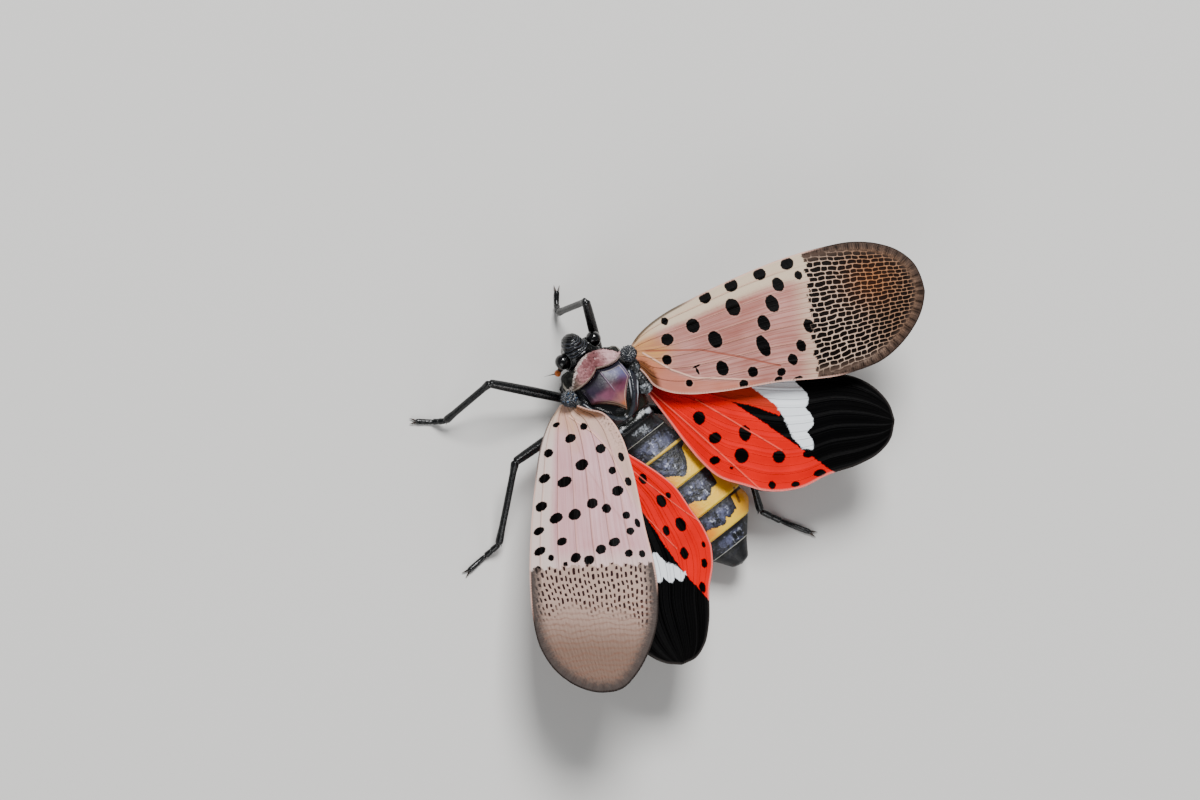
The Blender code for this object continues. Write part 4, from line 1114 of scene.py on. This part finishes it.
def collar_finish():
    """Dusty pink with brown blotches beside the keel, a beaded white rim, dark folded ends."""
    clouds = ((7.0, 5.0), (2.6, 4.0), (0.8, 2.0), (3.4, 1.0))
    paint, fine, grain, broad, mottle = new_paint("collar_horn", *clouds)
    left, tail, edge, behind = paint.reads("left", "tail", "edge", "behind")
    pink = (broad * 1.8 + grain + 0.5).over((122, 76, 80), (164, 116, 118))
    pale = (grain * 1.6 + 0.5).over((176, 130, 134), (220, 184, 186))
    pink = (left.rises(-0.2, -1.6) * 0.85).over(pink, pale)
    pink = (left.rises(1.1, 2.1) * (grain + 0.8)).over(pink, (120, 108, 94))
    stain = (grain * 1.6 + broad + 0.36) * abs(left).rises(1.3, 0.3)
    pink = (stain.rises(0.0, 0.5) * 0.75).over(pink, (84, 40, 42))
    rough_end = left.rises(0.9, 1.5) * (grain * 2.0 + fine * 1.5 + 0.2).rises(0.1, 0.5)
    pink = (rough_end * 0.7).over(pink, (30, 28, 28))
    spots = mottle.rises(0.15, 0.24) * tail.rises(-0.9, -1.5) * abs(left).rises(1.7, 0.8)
    pink = (spots * 0.75).over(pink, (44, 24, 26))

    line = tail - (left * left * 0.28 - 2.30).least(-1.0) + grain * 0.4 + fine * 0.3
    inside = line.rises(-0.05, 0.03)
    base = inside.over((grain * 2.6 + fine * 2.0 + 0.3).over((5, 5, 7), (50, 52, 47)), pink)
    teeth = (left * 7.0 + tail * 2.0 + grain * 2.0).beat().rises(0.12, 0.3) * 0.7 + 0.3
    beads = teeth * line.between(-0.1, 0.0, 0.06, 0.22) * left.rises(-0.6, 0.4)
    base = beads.over(base, (206, 194, 186))
    base = (behind.between(0.03, 0.07, 0.12, 0.17) * 0.75).over(base, (204, 182, 164))
    side = edge.between(0.03, 0.07, 0.10, 0.15) * abs(left).rises(1.4, 1.9) * tail.rises(-1.8, -1.3)
    base = (side * 0.7).over(base, (186, 180, 168))
    speckle = fine + grain * 0.5
    base = (speckle.rises(0.06, 0.24) * inside * 0.65).over(base, (92, 56, 56))
    base = (speckle.rises(-0.08, -0.26) * inside * 0.6).over(base, (204, 164, 164))
    relief = fine * 0.06 + grain * 0.09 - spots * 0.02
    return paint.finish(base, 0.6 + fine * 0.3, relief, {"Specular IOR Level": 0.12})


def shield_finish():
    """Blue-black ahead, violet sheen on the right, maroon in the middle, brown towards the point."""
    paint, fine, grain, broad = new_paint("shield_horn", (6.0, 4.0), (2.0, 3.0), (0.7, 2.0))
    left, tail, edge, ahead = paint.reads("left", "tail", "edge", "ahead")
    base = (broad * 2.0 + 0.5).over((24, 20, 32), (44, 34, 52))
    violet = (left * -1.0 + tail * -0.6 + broad * 1.6).rises(-0.3, 1.1)
    base = (violet * 0.85).over(base, (84, 84, 120))
    maroon = (tail + grain * 0.5 - abs(left) * 0.2).rises(0.0, 1.0)
    base = (maroon * 0.75).over(base, (broad * 1.6 + grain + 0.5).over((84, 32, 50), (132, 78, 98)))
    brown = (tail - abs(left + 0.1) * 0.5 + grain * 0.4).rises(1.0, 1.7)
    base = (brown * 0.75).over(base, (140, 92, 84))
    base = ((tail + grain * 0.3).rises(1.8, 2.3) * 0.85).over(base, (150, 84, 46))
    tip = (edge + grain * 0.1).rises(0.42, 0.25) * (tail + left * 0.5).rises(1.5, 1.9)
    base = (tip * left.rises(-0.25, 0.1) * 0.85).over(base, (62, 36, 22))
    keel = abs(left).rises(0.07, 0.02) * tail.rises(1.3, 0.6)
    base = (keel * (0.5 + fine)).over(base, (160, 140, 158))
    base = ((ahead + grain * 0.1).rises(0.42, 0.16) * 0.9).over(base, (14, 13, 22))
    rims = edge.between(0.035, 0.06, 0.08, 0.12) + edge.between(0.20, 0.23, 0.25, 0.28) * 0.5
    rims = rims * ahead.rises(0.1, 0.4) * (left.rises(0.3, -0.5) + tail.rises(1.0, 1.6) * 0.5)
    base = (rims * 0.85).over(base, (206, 186, 160))
    relief = fine * 0.012 + grain * 0.03
    return paint.finish(base, 0.4 + fine * 0.25, relief, {"Specular IOR Level": 0.35})


upper, lower, values = plate(
    COLLAR_HALF_WIDTH, collar_front, plate_seam,
    lambda x: 6.0 - 0.12 * x**2 - 0.62 * smooth(1.6, 2.5, np.abs(x)), 0.09, collar_relief,
)
add_sheet("collar_plate", upper, lower, collar_finish(), values, False, "pronotum")
upper, lower, values = plate(
    SHIELD_HALF_WIDTH, lambda x: plate_seam(x) + 0.10, shield_rear,
    lambda x: 6.02 - 0.13 * x**2, 0.24, shield_relief,
)
add_sheet("shield_plate", upper, lower, shield_finish(), values, False, "mesonotum")


# A small rough cap of blue-black horn sits over the root of each forewing and hides its hinge.
CAP_PLACE, CAP_RADII = np.array([2.80, -0.44, 5.66]), np.array([0.60, 0.58, 0.28])
CAP_GRID, LUMP_DEPTH = (90, 120), 0.15


def cap_finish():
    paint, base, rough, relief, fine = cuticle("wing_cap_horn", (6, 9, 14), (20, 28, 40), 0.3, 0.05)
    # Pale specks on the horn: grey speckles on the right cap, and on the left cap blue ones, which are
    # painted blue highlights.
    specks = (fine + paint.noise(paint.place(), 4.5, 2.0)).rises(0.14, 0.34)
    base = (specks * 0.6).over(base, paint.read("blue").over((62, 66, 72), (70, 116, 164)))
    return paint.finish(base, rough, relief + specks * 0.01, {"Specular IOR Level": 0.6})


def lumpy(centre, radii, grid):
    """A ball whose radius varies by products of sines in x, y and z, so that it looks chewed and rough."""
    shape = rays(*grid)
    x, y, z = np.moveaxis(shape, -1, 0)
    lumps = np.sin(9 * x + 5 * y) * np.sin(8 * y - 6 * z) * np.sin(10 * z + 4 * x)
    lumps = lumps + 0.6 * np.sin(17 * y + 9 * x) * np.sin(15 * x - 11 * z)
    return shape * (1 + LUMP_DEPTH * lumps)[..., None] * radii + centre


cap_paint = cap_finish()
for side, word in SIDES:
    cap = lumpy(CAP_PLACE * (side, 1, 1), CAP_RADII, CAP_GRID)
    # The left cap's specks take the blue of the painted highlights.
    blue = [{"blue": float(side == LEFT)}]
    add_solid(f"wing_cap_{word}", [cap], cap_paint, [f"tegula_{word}"], blue)


# Beside the thorax the wings are hung on small hard plates set in skin, dusted more and more with
# grey-white wax towards the rear; on the right a bare brown one lies lower, at the hindwing's root.
# Each plate is its place, its radii and its tone: below nought it is brown, above it is waxed.
HINGE_PLATES = {
    RIGHT: (
        ((2.70, 0.35, 5.00), (0.46, 0.66, 0.30), 0.2), ((2.55, 1.40, 4.82), (0.44, 0.66, 0.26), 0.1),
        ((2.48, 2.30, 4.80), (0.52, 0.44, 0.18), 0.3), ((2.95, 1.75, 4.40), (0.45, 0.60, 0.25), -0.4),
    ),
    LEFT: (
        ((2.52, 0.35, 5.00), (0.42, 0.60, 0.28), 0.1), ((2.50, 1.40, 4.80), (0.40, 0.66, 0.26), 0.2),
        ((2.40, 2.30, 4.75), (0.42, 0.42, 0.20), 0.4),
    ),
}
HINGE_GRID = (50, 70)


def hinge_finish():
    """Black, or brown below nought of its tone, or clouded with grey-white wax above it."""
    paint, fine, grain = new_paint("hinge_horn", (6.0, 4.0), (2.4, 3.0))
    tone = paint.read("tone")
    base = (grain * 2 + 0.5).over((8, 8, 10), (34, 36, 38))
    base = (tone + grain * 1.2 + fine * 0.8).rises(0.1, 0.9).over(base, (158, 164, 170))
    brown = (grain * 2 + 0.5).over((28, 14, 8), (86, 50, 26))
    base = (tone + grain * 0.5).rises(-0.2, -0.7).over(base, brown)
    return paint.finish(base, 0.36 + fine * 0.3, fine * 0.02 + grain * 0.04, {"Specular IOR Level": 0.4})


hinge_paint = hinge_finish()
for side, word in SIDES:
    hung = HINGE_PLATES[side]
    plates = [lumpy(np.array(place) * (side, 1, 1), radii, HINGE_GRID) for place, radii, _ in hung]
    tones = [{"tone": tone} for _, _, tone in hung]
    add_solid(f"wing_hinge_{word}", plates, hinge_paint, values=tones)


# Six legs of hard black tube, keeled along their length, each of a hip, a thigh, a shin and three short
# foot joints; the hind shins carry stout spines, and each foot ends in two hooked claws.
COXA_REACH, COXA_HEIGHT, COXA_RISE = (0.75, 1.65), 1.15, 0.55
LEGS = {
    "leg_front_left": (LEFT, -0.15, (6.50, -4.9, 4.1), (10.27, -4.75, 0.9), (11.96, -6.1, 0.17)),
    "leg_front_right": (RIGHT, -1.0, (2.70, -5.4, 5.3), (1.49, -6.1, 0.9), (2.60, -7.5, 0.17)),
    "leg_middle_left": (LEFT, 1.1, (8.47, 0.8, 3.7), (12.72, 4.9, 0.9), (15.64, 5.1, 0.17)),
    "leg_middle_right": (RIGHT, 0.8, (8.30, 1.2, 3.7), (11.2, 6.4, 0.9), (13.6, 7.8, 0.17)),
    "leg_hind_left": (LEFT, 2.8, (6.20, 8.3, 3.5), (5.6, 14.6, 0.95), (7.8, 17.0, 0.17)),
    "leg_hind_right": (RIGHT, 2.8, (6.60, 8.2, 3.5), (4.54, 14.9, 0.95), (6.85, 18.6, 0.17)),
}
SOLE_SHARE = 0.45
HIND_SPINES = (0.30, 0.45, 0.60, 0.75)
THIGH = ((0.0, 0.26), (0.10, 0.35), (0.45, 0.385), (0.85, 0.35), (1.0, 0.31))
SHIN = ((0.0, 0.29), (0.06, 0.31), (0.15, 0.25), (0.80, 0.25), (0.94, 0.30), (1.0, 0.28))
FOOT_JOINTS = ((0.0, 0.24, 0.25), (0.22, 0.44, 0.24), (0.42, 1.0, 0.22))
CLAW_REACH, CLAW_SPREAD = 0.42, 0.22
KEEL_UP = (0.05, 0.03, 1.0)


def bone(start, end, girths, power=1.5, flat=0.86, rows=70, columns=44, bow=0.0):
    """A tube from start to end: half widths read from (share, girth) pairs, its two ends rounded off."""
    share = np.linspace(0, 1, rows)
    start, end = np.asarray(start, float), np.asarray(end, float)
    length = np.linalg.norm(end - start)
    girth = np.interp(share, *np.array(girths).T)
    round_off = np.clip(np.minimum(share, 1 - share) * length / (girth * 0.8), 0, 1)
    girth = girth * np.sqrt(np.clip(1 - (1 - round_off) ** 2, 0.002, 1))
    path = start + np.outer(share, end - start) + np.outer(np.sin(np.pi * share) * bow, (0, 0, 1))
    return tube(path, girth, girth * flat, columns, power, KEEL_UP)


def thorn(start, tip, girth, rows=12, columns=12, droop=0.0):
    share = np.linspace(0, 1, rows)
    path = start + np.outer(share, np.subtract(tip, start)) - np.outer(share**2 * droop, (0, 0, 1))
    taper = girth * (1 - share) ** 0.8 + 0.006
    return tube(path, taper, taper, columns)


def leg_shapes(name):
    """The closed tubes of one leg and of its claws."""
    side, place, knee, ankle, toe = LEGS[name]
    mirror = np.array([side, 1, 1])
    hip, socket = (np.array([reach, place, COXA_HEIGHT]) * mirror for reach in COXA_REACH)
    knee, ankle, toe = (np.array(joint) * mirror for joint in (knee, ankle, toe))
    thigh, shin = unit(knee - socket), unit(ankle - knee)
    hip = hip + (0, 0, COXA_RISE)
    shapes = [
        bone(hip, socket + thigh * 0.2, ((0, 0.42), (0.5, 0.46), (1, 0.36)), 2.0, 0.95, 40),
        bone(socket - thigh * 0.1, socket + thigh * 0.5, ((0, 0.28), (0.5, 0.33), (1, 0.26)), 2.0, 0.95, 30),
        bone(socket + thigh * 0.25, knee + thigh * 0.10, THIGH, 1.45, 0.84, 110, bow=0.12),
        bone(knee - shin * 0.12, ankle + shin * 0.04, SHIN, 1.4, 0.84, 110, bow=0.10),
    ]
    sole = ankle + (toe - ankle) * SOLE_SHARE
    sole[2] = toe[2]
    foot = curve([ankle, sole, toe], np.linspace(0, 1, 101))
    for first, last, girth in FOOT_JOINTS:
        part = foot[int(first * 100) : int(last * 100) + 1]
        share = np.linspace(0, 1, len(part))
        taper = girth * np.sqrt(np.clip(1 - (2 * share - 1) ** 8, 0.03, 1)) * (0.85 + 0.15 * share)
        joint = tube(part, taper, taper * 0.9, 36, 1.8, KEEL_UP)
        joint[..., 2] = np.maximum(joint[..., 2], 0)
        shapes.append(joint)
    beside = unit(np.cross(shin, (0, 0, side)))
    if "hind" in name:
        for share in HIND_SPINES:
            start = knee + (ankle - knee) * share
            shapes.append(thorn(start, start + (beside + shin * 0.8) * 0.5, 0.11))
    for turn in np.linspace(-1.2, 1.2, 5):
        lean = beside * np.sin(turn) - np.array([0, 0, 1.0]) * np.cos(turn)
        start = ankle - shin * 0.12 + lean * 0.16
        shapes.append(thorn(start, start + shin * 0.26 + lean * 0.10, 0.05))
    ahead = unit(toe - sole)
    outward = np.cross(ahead, (0, 0, 1))
    claws = []
    for turn in (-1, 1):
        tip = toe + ahead * CLAW_REACH + outward * CLAW_SPREAD * turn + (0, 0, 0.06)
        claws.append(thorn(toe - ahead * 0.15 + outward * 0.06 * turn, tip, 0.085, 24, 16, 0.13))
    return shapes, claws


leg_paint = plain_cuticle("leg_cuticle", (3, 3, 4), (13, 15, 17), 0.26)
claw_paint = plain_cuticle("claw_horn", (20, 13, 9), (58, 36, 22), 0.25, 0.004)
for name in LEGS:
    shapes, claws = leg_shapes(name)
    add_solid(f"{name}_shell", shapes, leg_paint, [name])
    add_solid(f"{name}_claws", claws, claw_paint)
